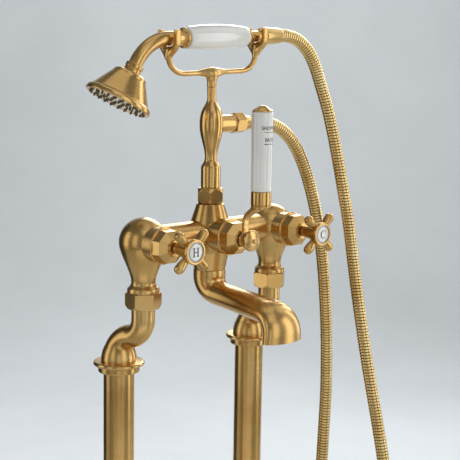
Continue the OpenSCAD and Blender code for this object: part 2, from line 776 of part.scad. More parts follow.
// Strap: an eye behind the cap, a flat rise, and an arm that steps forward and widens to a seat for the ferrule
module lever_strap() {
    seat_t = 2;
    rod_l = 5.3;
    color(brass) at_diverter() difference() {
        union() {
            translate([0, 0, strap_z]) cylinder(d = cap_d - 3, h = strap_t);
            translate([-strap_w / 2, 0, strap_z]) cube([strap_w, strap_rise, strap_t]);
            hull() {
                translate([-strap_w / 2, strap_rise - seat_t, strap_z]) cube([strap_w, seat_t, strap_t]);
                translate([0, ferrule_foot - seat_t, lever_fwd]) rotate([-90, 0, 0])
                    cylinder(r = ferrule_d / 2 - 0.2, h = seat_t, $fn = 96);
            }
        }
        cylinder(r = diverter_r - 1 + slip_fit, h = strap_z + strap_t + 1);
        translate([0, ferrule_foot - rod_l, lever_fwd]) rotate([-90, 0, 0])
            cylinder(r = lever_rod_r + slip_fit, h = rod_l + 1);
    }
}

// Round cap with a cone front and a small nib
module diverter_cap() {
    r = cap_d / 2;
    color(brass) at_diverter() difference() {
        rotate_extrude() polygon(concat(
            [[0, cap_z], [diverter_r + 1.4, cap_z], [diverter_r + 2, cap_rim_z], [r - 0.8, cap_rim_z]],
            arc(r - 0.8, cap_rim_z + 0.8, 0.8, -90, 0, 4),
            arc(r - 0.8, cap_front - 0.8, 0.8, 0, 75, 4),
            [[2.2, cap_apex - 0.6], [1.7, cap_apex - 0.4], [1.6, cap_apex + 0.3]],
            arc(0, cap_apex + 0.3, 1.5, 15, 90, 5)));
        translate([0, 0, cap_z - eps]) cylinder(r = diverter_r - 1 + slip_fit, h = 4 + 0.2);
    }
}

module at_lever() { at_diverter() translate([0, 0, lever_fwd]) rotate([-90, 0, 0]) children(); }

module lever_ferrule() {
    r = ferrule_d / 2;
    color(brass) at_lever() translate([0, 0, ferrule_foot]) difference() {
        rotate_extrude() polygon(concat(
            [[0, 0]],
            arc(r - 0.4, 0.4, 0.4, -90, 0, 4),
            arc(r - 0.8, ferrule_h - 0.8, 0.8, 0, 90, 5),
            [[0, ferrule_h]]));
        translate([0, 0, -1]) cylinder(r = lever_rod_r + slip_fit, h = ferrule_h + 2);
    }
}

module lever_rod() {
    color(inner_brass) at_lever() translate([0, 0, ferrule_foot - 5])
        cylinder(r = lever_rod_r, h = lever_head + 3 - ferrule_foot + 5);
}

module lever_porcelain() {
    r = lever_d / 2;
    soft = 1.4;
    color(porcelain) at_lever() translate([0, 0, lever_foot]) difference() {
        rotate_extrude() polygon(concat(
            [[0, 0]],
            arc(r - soft, soft, soft, -90, 0, 6),
            arc(r + 0.2 - soft, lever_l - soft, soft, 0, 90, 6),
            [[0, lever_l]]));
        translate([0, 0, -1]) cylinder(r = lever_rod_r + slip_fit, h = lever_l + 2);
    }
}

module lever_dome() {
    r = lever_d / 2 + 0.2;
    color(brass) at_lever() translate([0, 0, lever_head]) difference() {
        rotate_extrude() polygon(concat(
            [[0, 0], [r - 0.6, 0], [r, 0.6], [r, 1.2]],
            curve([r, 1.2], [r - 1.4, 3.2], [4.5, dome_h], [0, dome_h], 10)));
        translate([0, 0, -1]) cylinder(r = lever_rod_r + slip_fit, h = 4.2);
    }
}

// Spout: a loft from a round collar to an oval mouth

spout_tail_r = hub_bottom_d / 2 - 3;
spout_tail_l = 11;
spout_drop = 6.5;
spout_turn = 90 - spout_slope;
spout_seal_w = 1.6;
// Centreline points, as forward reach and height below the collar's seat, with their heading
spout_bend_end = [spout_bend_r * (1 - cos(spout_turn)), -spout_drop - spout_bend_r * sin(spout_turn)];
spout_nose_x = spout_reach - spout_nose_r * (1 - sin(spout_slope));
spout_nose_z = spout_bend_end[1] - (spout_nose_x - spout_bend_end[0]) * tan(spout_slope);
spout_mouth_z = spout_nose_z - spout_nose_r * cos(spout_slope);
mouth_run = 7;

// Stations along the spout: forward reach, height, heading below the horizontal, half width, half depth
function blend_to(a, b, t) = a + (b - a) * t * t * (3 - 2 * t);
spout_r = spout_d / 2;
arm_w = spout_r * 0.95;
arm_h = spout_r * 0.72;
function spout_stations(wall) = concat(
    [for (t = [wall > 0 ? 0.5 : 0, 0.75]) [0, -spout_drop * t, 90, spout_r - wall, spout_r - wall]],
    [for (i = [0:7]) let (t = i / 7, a = spout_turn * t)
        [spout_bend_r * (1 - cos(a)), -spout_drop - spout_bend_r * sin(a), 90 - a,
         blend_to(spout_r, arm_w, t) - wall, blend_to(spout_r, arm_h, t) - wall]],
    [for (i = [1:6]) let (t = i / 7, p = spout_bend_end + t * ([spout_nose_x, spout_nose_z] - spout_bend_end))
        [p[0], p[1], spout_slope,
         arm_w + (mouth_w / 2 - arm_w) * 0.55 * t * t - wall, arm_h - wall]],
    [for (i = [0:8]) let (t = i / 8, a = spout_slope + t * (90 - spout_slope))
        [spout_nose_x + spout_nose_r * (sin(a) - sin(spout_slope)),
         spout_nose_z - spout_nose_r * (cos(spout_slope) - cos(a)), a,
         arm_w + (mouth_w / 2 - arm_w) * (0.55 + 0.4 * t) - wall,
         blend_to(arm_h, mouth_depth / 2, t) - wall]],
    [for (t = [0.5, 1]) [spout_reach, spout_mouth_z - mouth_run * t, 90,
         mouth_w / 2 - (1 - t) * 0.6 - wall, mouth_depth / 2 - wall]]);

// One oval section, square to the heading
function spout_ring(st, sides) =
    [for (k = [0:sides - 1]) let (a = 360 * k / sides, across = st[3] * cos(a), up = st[4] * sin(a))
        [across, -(st[0] + up * sin(st[2])), st[1] + up * cos(st[2])]];

module spout_loft(wall, sides, grow) {
    base = spout_stations(wall);
    last = len(base) - 1;
    last_st = base[last] - [0, grow, 0, 0, 0];
    stations = concat([for (i = [0:last - 1]) base[i]], [last_st]);
    rings = [for (st = stations) spout_ring(st, sides)];
    count = len(rings);
    points = [for (r = rings) each r];
    skin = [for (i = [0:count - 2]) for (k = [0:sides - 1])
        let (a = i * sides + k, b = i * sides + (k + 1) % sides)
        each [[a, b + sides, b], [a, a + sides, b + sides]]];
    top = [for (k = [1:sides - 2]) [0, k, k + 1]];
    start = (count - 1) * sides;
    bottom = [for (k = [1:sides - 2]) [start, start + k + 1, start + k]];
    polyhedron(points, concat(skin, top, bottom));
}

module spout() {
    color(brass) at_hub() translate([0, 0, -hub_drop - eps]) difference() {
        union() {
            spout_loft(0, 32, 0);
            translate([0, 0, -1]) cylinder(r = spout_tail_r, h = spout_tail_l + 1);
        }
        spout_loft(spout_wall, 24, 1);
        translate([0, 0, -spout_drop]) cylinder(r = waterway_d / 2, h = spout_tail_l + spout_drop + 1);
        translate([0, 0, spout_tail_l / 2]) rotate_extrude()
            translate([spout_tail_r - spout_seal_w, -spout_seal_w]) square([spout_seal_w + 1, 2 * spout_seal_w]);
    }
}

module spout_seal() {
    color(rubber) at_hub() translate([0, 0, -hub_drop + spout_tail_l / 2]) rotate_extrude()
        translate([spout_tail_r + slip_fit - spout_seal_w / 2, 0]) circle(r = spout_seal_w / 2);
}

// Riser

module riser_washer() {
    color(fibre) at_hub() translate([0, 0, riser_boss_top])
        ring(thread_boss_d / 2 - 0.3, riser_bore / 2 + 0.5, riser_washer_t);
}

module riser_nut() {
    lip = riser_d / 2 - 0.7;
    color(brass) at_hub() translate([0, 0, riser_nut_z]) difference() {
        rotate([0, 0, riser_nut_turn]) hex_bar(riser_nut_af, riser_nut_h, 2.4, 1.9);
        translate([0, 0, -1]) cylinder(r = lip + slip_fit, h = riser_nut_h + 2);
        translate([0, 0, -eps]) cylinder(r = thread_boss_d / 2 + slip_fit, h = riser_lip_z - riser_nut_z);
    }
}

module riser_column() {
    r = riser_d / 2;
    lip = r - 0.7;
    neck = riser_neck_d / 2;
    belly = vase_d / 2;
    top = riser_top_d / 2;
    shoulder_z = riser_neck_z - 10.5;
    vase_up = riser_top_z - vase_z;
    color(brass) at_hub() difference() {
        union() {
            rotate_extrude() polygon(concat(
                [[0, riser_tail_z], [thread_boss_d / 2 - 0.2, riser_tail_z],
                 [thread_boss_d / 2 - 0.2, riser_tail_z + riser_tail_t], [lip, riser_tail_z + riser_tail_t],
                 [lip, riser_foot_z]],
                arc(r - 0.6, riser_foot_z + 0.6, 0.6, -90, 0, 4),
                curve([r, shoulder_z], [r, shoulder_z + 4], [neck, riser_neck_z - 5], [neck, riser_neck_z], 8),
                curve([neck, riser_neck_z + 0.5], [neck, riser_neck_z + 11.5], [belly, vase_z - 14.5],
                      [belly, vase_z], 14),
                curve([belly, vase_z + 0.5], [belly, vase_z + vase_up * 0.5], [top, vase_z + vase_up * 0.48],
                      [top, vase_z + vase_up * 0.73], 14),
                [[top + 0.25, riser_top_z], [spigot_r, riser_top_z], [spigot_r, riser_top_z + spigot_l],
                 [0, riser_top_z + spigot_l]]));
            translate([0, 0, outlet_z]) rotate([0, 90, 0]) rotate_extrude() polygon([
                [0, 0], [stub_d / 2, 0], [stub_d / 2, stub_l - 1.6], [stub_d / 2 + 0.5, stub_l - 1],
                [stub_d / 2 + 0.5, stub_l], [outlet_thread_r, stub_l],
                [outlet_thread_r, stub_l + outlet_thread_l], [0, stub_l + outlet_thread_l]]);
        }
        translate([0, 0, riser_tail_z - 1]) cylinder(d = riser_bore, h = outlet_z - riser_tail_z + 1);
        translate([0, 0, outlet_z]) sphere(d = riser_bore);
        translate([0, 0, outlet_z]) rotate([0, 90, 0]) cylinder(d = riser_bore, h = stub_l + outlet_thread_l + 1);
    }
}

// Cradle: a stem on the riser's spigot, a leaf swelling, a rod, two hooks and two open cups

// Section of a prong: a bar with round edges
module prong_section() {
    half = (cup_w - prong_t) / 2;
    translate([-prong_t / 2, -half]) square([prong_t, 2 * half]);
    for (s = [-1, 1]) translate([0, s * half]) circle(d = prong_t);
}

// Open cup round an axis along x: half a ring below the axis and two prongs above it
module cup(inner_r) {
    mid = inner_r + prong_t / 2;
    half = (cup_w - prong_t) / 2;
    rotate([0, 0, 90]) rotate([90, 0, 0]) rotate([0, 0, 180]) rotate_extrude(angle = 180)
        translate([mid, 0]) prong_section();
    for (s = [-1, 1]) translate([0, s * mid, 0]) {
        rotate([0, 0, 90]) linear_extrude(prong_rise) prong_section();
        translate([-half, 0, prong_rise]) rotate([0, 90, 0]) cylinder(d = prong_t, h = 2 * half);
        for (e = [-1, 1]) translate([e * half, 0, prong_rise]) sphere(d = prong_t);
    }
}

front_cup_r = neck_r + 0.7;
rear_cup_r = rear_neck_d / 2 + 0.5;

// Hook from the end of the rod up to the foot of a cup
module hook(side, inner_r) {
    r = rod_d / 2 + 0.3;
    corner = cup_x - hook_r;
    foot = handset_rise - inner_r - prong_t / 2;
    translate([side * corner, 0, hook_r]) rotate([90, 0, 0]) rotate([0, 0, side > 0 ? 270 : 180])
        rotate_extrude(angle = 90) translate([hook_r, 0]) circle(r = r);
    translate([side * cup_x, 0, hook_r]) cylinder(r1 = r, r2 = r + 0.8, h = foot - hook_r);
}

module cradle() {
    rod_r = rod_d / 2;
    leaf_r = leaf_d / 2;
    seam = riser_top_z + 0.2;
    stem_r = riser_top_d / 2 + 0.45;
    leaf_arc = (leaf_l * leaf_l + (leaf_r - rod_r) * (leaf_r - rod_r)) / (2 * (leaf_r - rod_r));
    leaf_a = asin(leaf_l / leaf_arc);
    color(brass) at_hub() difference() {
        union() {
            rotate_extrude() polygon(concat(
                [[0, seam], [stem_r, seam]],
                curve([stem_r, seam + 0.4], [stem_r, seam + 6], [stem_r + 1.4, rod_z - 4], [stem_r + 4.6, rod_z - 1], 10),
                [[0, rod_z - 1]]));
            translate([0, 0, rod_z]) rotate([0, -cradle_tilt, 0]) {
                rotate([0, 90, 0]) rotate_extrude() polygon(concat(
                    [[0, -leaf_l]],
                    [for (p = arc(leaf_r - leaf_arc, 0, leaf_arc, -leaf_a, leaf_a, 16)) p],
                    [[0, leaf_l]]));
                rotate([0, 90, 0]) translate([0, 0, -cup_x + hook_r]) cylinder(r = rod_r, h = 2 * (cup_x - hook_r));
                hook(-1, front_cup_r);
                hook(1, rear_cup_r);
                translate([-cup_x, 0, handset_rise]) cup(front_cup_r);
                translate([cup_x, 0, handset_rise]) cup(rear_cup_r);
            }
        }
        translate([0, 0, seam - 1]) cylinder(r = spigot_r + slip_fit, h = spigot_l + 1.2);
        translate([0, 0, seam + 2.6]) rotate([90, 0, 0]) cylinder(r = cradle_screw_r + slip_fit, h = leaf_d);
    }
}

cradle_screw_r = 1.3;

module cradle_screw() {
    reach = riser_top_d / 2 + 0.6;
    color(inner_brass) at_hub() translate([0, 0, riser_top_z + 2.8]) rotate([90, 0, 0]) difference() {
        translate([0, 0, spigot_r + slip_fit]) cylinder(r = cradle_screw_r, h = reach - spigot_r);
        translate([-0.3, -3, reach - 0.7]) cube([0.6, 6, 2]);
    }
}

// Hose and its nuts

module outlet_washer() {
    color(rubber) at_outlet() translate([0, 0, stub_l + outlet_thread_l])
        ring(outlet_thread_r - 0.2, hose_bore / 2, washer_t);
}

// Six flats, then a cone down to the hose
module outlet_hose_nut() {
    nut_r = stub_d / 2 + 1.3;
    inner_l = stub_l + outlet_thread_l + washer_t - outlet_nut_x;
    color(brass) at_outlet() translate([0, 0, outlet_nut_x]) difference() {
        union() {
            rotate([0, 0, 12]) hex_bar(2 * nut_r * 0.92, outlet_nut_l, 1.6);
            translate([0, 0, outlet_nut_l - eps])
                cylinder(r1 = nut_r - 1.6, r2 = hose_d / 2 + 0.2, h = outlet_cone_l + eps);
        }
        translate([0, 0, -1]) cylinder(d = hose_bore, h = outlet_nut_l + outlet_cone_l + 2);
        translate([0, 0, -1]) cylinder(r = outlet_thread_r + slip_fit, h = inner_l + 1 + slip_fit);
    }
}

// Route of the hose from the outlet nut to the handset's nut, in whole millimetres
hose_points = [
    [54, -34, 913], [68, -34, 913], [92, -34, 909], [113, -34, 898], [130, -34, 881],
    [144, -34, 858], [156, -34, 831], [166, -34, 801], [176, -34, 760], [183, -34, 713],
    [188, -34, 660], [190, -34, 600], [189, -33, 540], [187, -32, 485], [185, -30, 430],
    [184, -28, 374], [184, -37, 341], [183, -61, 317], [183, -94, 308], [182, -127, 317],
    [181, -151, 341], [180, -160, 374], [178, -155, 437], [178, -144, 490], [178, -131, 545],
    [179, -117, 595], [180, -104, 640], [181, -91, 690], [182, -78, 745], [183, -66, 800],
    [182, -55, 845], [179, -46, 887], [173, -40, 922], [165, -36, 949], [157, -34, 970],
    [147, -34, 985], [136, -34, 995], [123, -34, 1002], [108, -34, 1005], [96, -34, 1005]
];
hose_last = len(hose_points) - 1;
// The two ends sit against the nuts, and the route between them follows
hose_start = [hose_x, body_y, valve_z + outlet_z];
hose_end_x = hose_nut_end + free_gap;
hose_end = [hose_end_x * cos(cradle_tilt) - handset_rise * sin(cradle_tilt), body_y,
            valve_z + rod_z + hose_end_x * sin(cradle_tilt) + handset_rise * cos(cradle_tilt)];
start_shift = hose_start - hose_points[0];
end_shift = hose_end - hose_points[hose_last];
hose_route = [for (i = [0:hose_last]) hose_points[i] + blend_to(start_shift, end_shift, i / hose_last)];

// Heading at each point of the route, along the outlet and the handset at the ends
start_heading = [1, 0, 0];
end_heading = [-cos(cradle_tilt), 0, -sin(cradle_tilt)];
route_gap = [for (i = [0:hose_last - 1]) norm(hose_route[i + 1] - hose_route[i])];
route_heading = [for (i = [0:hose_last]) i == 0 ? start_heading : i == hose_last ? end_heading
    : (hose_route[i + 1] - hose_route[i - 1]) / (route_gap[i] + route_gap[i - 1])];

// Smooth curve through the route's points
function route_at(i, t) =
    let (g = route_gap[i], t2 = t * t, t3 = t2 * t)
    (2 * t3 - 3 * t2 + 1) * hose_route[i] + (t3 - 2 * t2 + t) * g * route_heading[i]
    + (3 * t2 - 2 * t3) * hose_route[i + 1] + (t3 - t2) * g * route_heading[i + 1];

route_steps = 24;
route_fine = concat(
    [for (i = [0:hose_last - 1]) for (k = [0:route_steps - 1]) route_at(i, k / route_steps)],
    [hose_route[hose_last]]);
// Length of the route up to each fine point
route_sum = [for (i = 0, s = 0; i < len(route_fine);
    s = s + (i + 1 < len(route_fine) ? norm(route_fine[i + 1] - route_fine[i]) : 0), i = i + 1) s];
hose_l = route_sum[len(route_sum) - 1];
// Fine index of the point that lies a length s along the route, found by halving
function fine_index(s, lo, hi) = hi - lo <= 1 ? lo :
    let (mid = floor((lo + hi) / 2)) route_sum[mid] <= s ? fine_index(s, mid, hi) : fine_index(s, lo, mid);
function point_at(s) =
    let (i = fine_index(min(max(s, 0), hose_l - eps), 0, len(route_sum) - 1),
         t = (s - route_sum[i]) / (route_sum[i + 1] - route_sum[i]))
    route_fine[i] + t * (route_fine[i + 1] - route_fine[i]);
function unit(v) = v / norm(v);
function heading_at(s) = s < eps ? start_heading : s > hose_l - eps ? end_heading
    : unit(point_at(s + 1) - point_at(s - 1));

// Ring of points round the route; the guide direction is never along the hose
hose_guide = [0.7, 0.7, 0];
hose_sides = 8;
function hose_ring(s, r) =
    let (h = heading_at(s), u = unit(cross(h, hose_guide)), v = cross(h, u), p = point_at(s))
    [for (k = [0:hose_sides - 1]) let (a = 360 * k / hose_sides) p + r * (cos(a) * u + sin(a) * v)];

module shower_hose() {
    pitch = hose_l / rib_count;
    crest = hose_d / 2;
    root = crest - rib_depth;
    bore_rings = 80;
    outside = concat(
        [for (i = [0:rib_count - 1]) each [hose_ring(i * pitch, i == 0 ? crest : root),
                                           hose_ring((i + 0.5) * pitch, crest)]],
        [hose_ring(hose_l, crest)]);
    inside = [for (i = [0:bore_rings]) hose_ring(hose_l * (1 - i / bore_rings), hose_bore / 2)];
    rings = concat(outside, inside);
    count = len(rings);
    points = [for (r = rings) each r];
    faces = [for (i = [0:count - 1]) for (k = [0:hose_sides - 1])
        let (j = (i + 1) % count, a = i * hose_sides + k, b = i * hose_sides + (k + 1) % hose_sides,
             c = j * hose_sides + k, d = j * hose_sides + (k + 1) % hose_sides)
        each [[a, d, b], [a, c, d]]];
    color(brass) polyhedron(points, faces);
}

// Handset

module handset_hose_nut() {
    l = hose_nut_end - hose_nut_x;
    inner_l = rear_thread_l + washer_t;
    r = hose_nut_d / 2;
    color(brass) along_handset(hose_nut_x) difference() {
        rotate_extrude() polygon(concat(
            [[0, 0]],
            arc(r - 1, 1, 1, -90, 0, 4),
            [[r, 5], [r - 0.6, 5.8], [hose_d / 2 + 0.6, l - 0.6], [hose_d / 2, l], [0, l]]));
        translate([0, 0, -1]) cylinder(d = hose_bore, h = l + 2);
        translate([0, 0, -1]) cylinder(r = rear_thread_r + slip_fit, h = inner_l + 1 + slip_fit);
    }
}

module handset_washer() {
    color(rubber) along_handset(hose_nut_x + rear_thread_l)
        ring(rear_thread_r - 0.2, hose_bore / 2, washer_t);
}

module rose_collar() {
    r = neck_r + 2.5;
    l = rose_collar_l;
    color(brass) at_rose() translate([0, 0, rose_collar_s]) difference() {
        rotate_extrude() polygon(concat(
            [[0, 0]],
            arc(r - 0.8, 0.8, 0.8, -90, 0, 4),
            [[r, l * 0.42], [r - 0.7, l * 0.5], [r - 0.7, l * 0.6], [r, l * 0.68], [r, l], [0, l]]));
        translate([0, 0, -1]) cylinder(r = neck_r + slip_fit, h = l + 2);
    }
}

// Bell with a rounded shoulder, straight sides, a raised band and a rim
module rose_shell() {
    rim_r = rose_d / 2;
    band_r = rim_r - 2.8;
    top_r = 16;
    cone_r = rim_r - 5;
    w = rose_wall;
    shoulder = 4;
    cone_end = rose_rim - 7.5;
    color(brass) at_rose() rotate_extrude() polygon(concat(
        [[neck_bore_r, rose_top], [top_r - shoulder, rose_top]],
        arc(top_r - shoulder, rose_top + shoulder, shoulder, -90, -35, 8),
        curve([top_r, rose_top + 4], [top_r + 2, rose_top + 8], [cone_r - 5, cone_end - 6], [cone_r, cone_end], 10),
        arc(band_r - 1.5, cone_end + 2, 1.5, -60, 60, 6),
        [[band_r - 1, cone_end + 3.6], [rim_r - 0.8, rose_rim - 2.4]],
        arc(rim_r - 1, rose_rim - 1.2, 1, -30, 90, 6),
        [[plate_r + slip_fit, rose_rim], [plate_r + slip_fit, rose_rim - plate_sink - plate_t],
         [plate_r - 1.5, rose_rim - plate_sink - plate_t], [cone_r - w, cone_end],
         [top_r - w, rose_top + 5.5], [top_r - w - 2, rose_top + w + 1], [neck_bore_r, rose_top + w + 1]]));
}

// Plate with rings of spray holes
module rose_plate() {
    color(brass) at_rose() translate([0, 0, rose_rim - plate_sink - plate_t + slip_fit]) difference() {
        cylinder(r = plate_r, h = plate_t - slip_fit);
        for (ring_i = [1:spray_rings]) for (k = [0:6 * ring_i - 1])
            rotate([0, 0, 360 * k / (6 * ring_i)]) translate([ring_i * spray_pitch, 0, -1])
                cylinder(d = spray_d, h = plate_t + 2, $fn = 16);
    }
}

// Neck sweep from the bead end, round the bend and a little way along the spray
module neck_sweep(r, before, past) {
    translate([-neck_start, 0, 0]) rotate([0, 90, 0]) cylinder(r = r, h = neck_end + neck_start + before);
    translate([-neck_start, 0, -neck_bend_r]) rotate([90, 0, 0]) rotate([0, 0, 90])
        rotate_extrude(angle = neck_bend) translate([neck_bend_r, 0]) circle(r = r);
    translate([-neck_start - neck_bend_r * sin(neck_bend), 0, -neck_bend_r * (1 - cos(neck_bend))])
        rotate([0, 270 - neck_bend, 0]) cylinder(r = r, h = past);
}

// Curved neck with a small flow pin on its outer side
module handset_neck() {
    pin_a = 15;
    pin_out = neck_bend_r + neck_r - 0.6;
    color(brass) at_handset() difference() {
        union() {
            neck_sweep(neck_r, 0, rose_collar_s + rose_collar_l);
            joint_core(neck_r, [-neck_start, 0, 0], 90);
            joint_core(neck_r, [-neck_start - neck_bend_r * sin(neck_bend), 0, -neck_bend_r * (1 - cos(neck_bend))],
                       90 - neck_bend);
            translate([-neck_start, 0, -neck_bend_r]) rotate([0, -pin_a, 0]) translate([0, 0, pin_out]) {
                cylinder(r = 2.2, h = 3.2);
                translate([0, 0, 2.6]) cylinder(r = 3.6, h = 2.2);
            }
        }
        neck_sweep(neck_bore_r, 1, rose_collar_s + rose_collar_l + 1);
        joint_relief(neck_bore_r, [-neck_start, 0, 0], 90);
        joint_relief(neck_bore_r, [-neck_start - neck_bend_r * sin(neck_bend), 0, -neck_bend_r * (1 - cos(neck_bend))],
                     90 - neck_bend);
    }
}

// Ferrule with a round bead in front of the grip
module front_ferrule() {
    bead_r = bead_d / 2;
    from = neck_end + eps;
    seat = -grip_front;
    color(brass) at_handset() rotate([0, 90, 0]) difference() {
        rotate_extrude() polygon(concat(
            [[0, from], [neck_r + 0.8, from], [neck_r + 1.2, from + 0.6]],
            curve([neck_r + 1.2, from + 1], [neck_r + 0.4, from + 2], [bead_r - 3, bead_x - 2.4],
                  [bead_r - 1.2, bead_x - 1.8], 6),
            arc(bead_r - 2, bead_x, 2, -60, 75, 10),
            [[bead_r - 1.4, seat], [0, seat]]));
        translate([0, 0, from - 1]) cylinder(r = neck_bore_r, h = seat - from + 2);
    }
}

// Barrel grip of white porcelain
module porcelain_grip() {
    front_r = grip_front_d / 2;
    rear_r = grip_rear_d / 2;
    r = grip_d / 2;
    a = -grip_front + eps;
    b = grip_rear;
    color(porcelain) at_handset() rotate([0, 90, 0]) difference() {
        rotate_extrude() polygon(concat(
            [[0, a], [front_r - 1.2, a]],
            arc(front_r - 1.2, a + 1.2, 1.2, -90, -20, 5),
            curve([front_r, a + 1.6], [front_r + 2, a + 12], [r, -16], [r, 2], 12),
            curve([r, 2.5], [r, 20], [rear_r + 2.2, b - 12], [rear_r, b - 1.6], 12),
            arc(rear_r - 1.2, b - 1.2, 1.2, 20, 90, 5),
            [[0, b]]));
        translate([0, 0, a - 1]) cylinder(r = tube_r + slip_fit, h = b - a + 2);
    }
}

// Tail: a tube through the grip, an end cap, the rear neck, a flange and the hose thread
module handset_tail() {
    cap_r = rear_cap_d / 2;
    neck = rear_neck_d / 2;
    from = neck_end - tube_lap;
    cap_x = grip_rear + eps;
    color(brass) at_handset() rotate([0, 90, 0]) difference() {
        rotate_extrude() polygon(concat(
            [[tube_bore_r, from], [tube_r, from], [tube_r, cap_x], [cap_r - 0.6, cap_x],
             [cap_r, cap_x + 0.6], [cap_r - 0.2, cap_x + cap_t - 0.6]],
            curve([cap_r - 0.8, cap_x + cap_t], [neck + 1.6, cap_x + cap_t + 0.4],
                  [neck, cap_x + cap_t + 1.6], [neck, cap_x + cap_t + 4], 6),
            [[neck, rear_flange_x], [hose_nut_d / 2 - 1, rear_flange_x],
             [hose_nut_d / 2 - 1, rear_flange_x + rear_flange_t], [rear_thread_r, rear_flange_x + rear_flange_t],
             [rear_thread_r, hose_nut_x + rear_thread_l], [tube_bore_r, hose_nut_x + rear_thread_l]]));
    }
}

floor_flange(hot);  // hot_floor_flange
floor_flange(cold);  // cold_floor_flange
standpipe(hot);  // hot_standpipe
standpipe(cold);  // cold_standpipe
pipe_collar(hot);  // hot_pipe_collar
pipe_collar(cold);  // cold_pipe_collar
swan_neck(hot);  // hot_swan_neck
swan_neck(cold);  // cold_swan_neck
union_nut(hot);  // hot_union_nut
union_nut(cold);  // cold_union_nut
union_washer(hot);  // hot_union_washer
union_washer(cold);  // cold_union_washer
mixer_body();
seat_seal(hot);  // hot_seat_seal
seat_seal(cold);  // cold_seat_seal
fixed_disc(hot);  // hot_fixed_disc
fixed_disc(cold);  // cold_fixed_disc
moving_disc(hot);  // hot_moving_disc
moving_disc(cold);  // cold_moving_disc
cartridge(hot);  // hot_cartridge
cartridge(cold);  // cold_cartridge
spindle(hot);  // hot_spindle
spindle(cold);  // cold_spindle
bonnet(hot);  // hot_bonnet
bonnet(cold);  // cold_bonnet
cross_handle(hot);  // hot_cross_handle
cross_handle(cold);  // cold_cross_handle
handle_screw(hot);  // hot_handle_screw
handle_screw(cold);  // cold_handle_screw
index_disc(hot);  // hot_index_disc
index_disc(cold);  // cold_index_disc
diverter_rotor();
diverter_seal();
diverter_bonnet();
lever_strap();
diverter_cap();
lever_ferrule();
lever_rod();
lever_porcelain();
lever_dome();
spout();
spout_seal();
riser_washer();
riser_nut();
riser_column();
cradle();
cradle_screw();
outlet_washer();
outlet_hose_nut();
shower_hose();
handset_hose_nut();
handset_washer();
rose_shell();
rose_plate();
rose_collar();
handset_neck();
front_ferrule();
porcelain_grip();
handset_tail();
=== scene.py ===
import json
import math

import bmesh
import bpy
import numpy as np
from mathutils import Matrix, Vector


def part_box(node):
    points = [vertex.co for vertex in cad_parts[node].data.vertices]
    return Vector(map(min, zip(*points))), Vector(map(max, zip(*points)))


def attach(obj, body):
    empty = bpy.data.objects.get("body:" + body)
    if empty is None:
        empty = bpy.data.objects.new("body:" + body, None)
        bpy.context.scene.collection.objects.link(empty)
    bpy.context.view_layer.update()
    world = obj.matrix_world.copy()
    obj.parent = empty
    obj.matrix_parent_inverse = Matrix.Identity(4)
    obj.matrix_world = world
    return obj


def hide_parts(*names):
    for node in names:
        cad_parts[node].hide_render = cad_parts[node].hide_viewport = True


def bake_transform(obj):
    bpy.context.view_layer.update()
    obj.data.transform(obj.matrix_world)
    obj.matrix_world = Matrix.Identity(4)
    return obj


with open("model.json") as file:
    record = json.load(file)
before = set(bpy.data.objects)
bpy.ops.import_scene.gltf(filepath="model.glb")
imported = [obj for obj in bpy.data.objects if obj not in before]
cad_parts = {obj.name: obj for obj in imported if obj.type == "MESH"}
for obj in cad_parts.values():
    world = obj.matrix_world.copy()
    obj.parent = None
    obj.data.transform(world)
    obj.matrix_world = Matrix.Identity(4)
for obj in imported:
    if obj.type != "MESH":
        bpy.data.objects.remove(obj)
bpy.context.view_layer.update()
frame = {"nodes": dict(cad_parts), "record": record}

MM = 0.001
VALVE_Z = 798.4991 * MM
BODY_Y = -34.0 * MM


# Camera: at the photograph's place and angle

CAMERA_AT = Vector((-0.8619, -0.9673, 0.9971))
CAMERA_YAW, CAMERA_PITCH, CAMERA_ROLL = (math.radians(a) for a in (43.67, -8.71, 0.91))

ahead = Vector((math.sin(CAMERA_YAW) * math.cos(CAMERA_PITCH),
                math.cos(CAMERA_YAW) * math.cos(CAMERA_PITCH),
                math.sin(CAMERA_PITCH)))
right = Vector((math.cos(CAMERA_YAW), -math.sin(CAMERA_YAW), 0.0))
up = right.cross(ahead)
right, up = (right * math.cos(CAMERA_ROLL) + up * math.sin(CAMERA_ROLL),
             up * math.cos(CAMERA_ROLL) - right * math.sin(CAMERA_ROLL))
lens = bpy.data.cameras.new("camera")
lens.lens = 95.91
lens.sensor_width = 36.0
lens.clip_start = 0.01
camera = bpy.data.objects.new("camera", lens)
bpy.context.scene.collection.objects.link(camera)
camera.matrix_world = Matrix.Translation(CAMERA_AT) @ Matrix(
    (right, up, -ahead)).transposed().to_4x4()
bpy.context.scene.camera = camera


# Meshes

SHARP_ANGLE = math.radians(40)
# Radius (mm) where a turned outline stops short of its axis
AXIS_R = 0.05


def add_mesh(name, points, faces, smooth=True):
    """A new mesh object from points in metres and faces by index."""
    mesh = bpy.data.meshes.new(name)
    mesh.from_pydata([tuple(p) for p in points], [], faces)
    mesh.update()
    bm = bmesh.new()
    bm.from_mesh(mesh)
    bmesh.ops.recalc_face_normals(bm, faces=bm.faces)
    bm.to_mesh(mesh)
    bm.free()
    for polygon in mesh.polygons:
        polygon.use_smooth = smooth
    piece = bpy.data.objects.new(name, mesh)
    bpy.context.scene.collection.objects.link(piece)
    return piece


def crisp(piece):
    """Break the smooth shading of a piece at its sharp edges."""
    piece.data.set_sharp_from_angle(angle=SHARP_ANGLE)
    return piece


def circle(sides):
    """Cosine and sine of evenly spaced turns."""
    turns = [2 * math.pi * i / sides for i in range(sides)]
    return [(math.cos(turn), math.sin(turn)) for turn in turns]


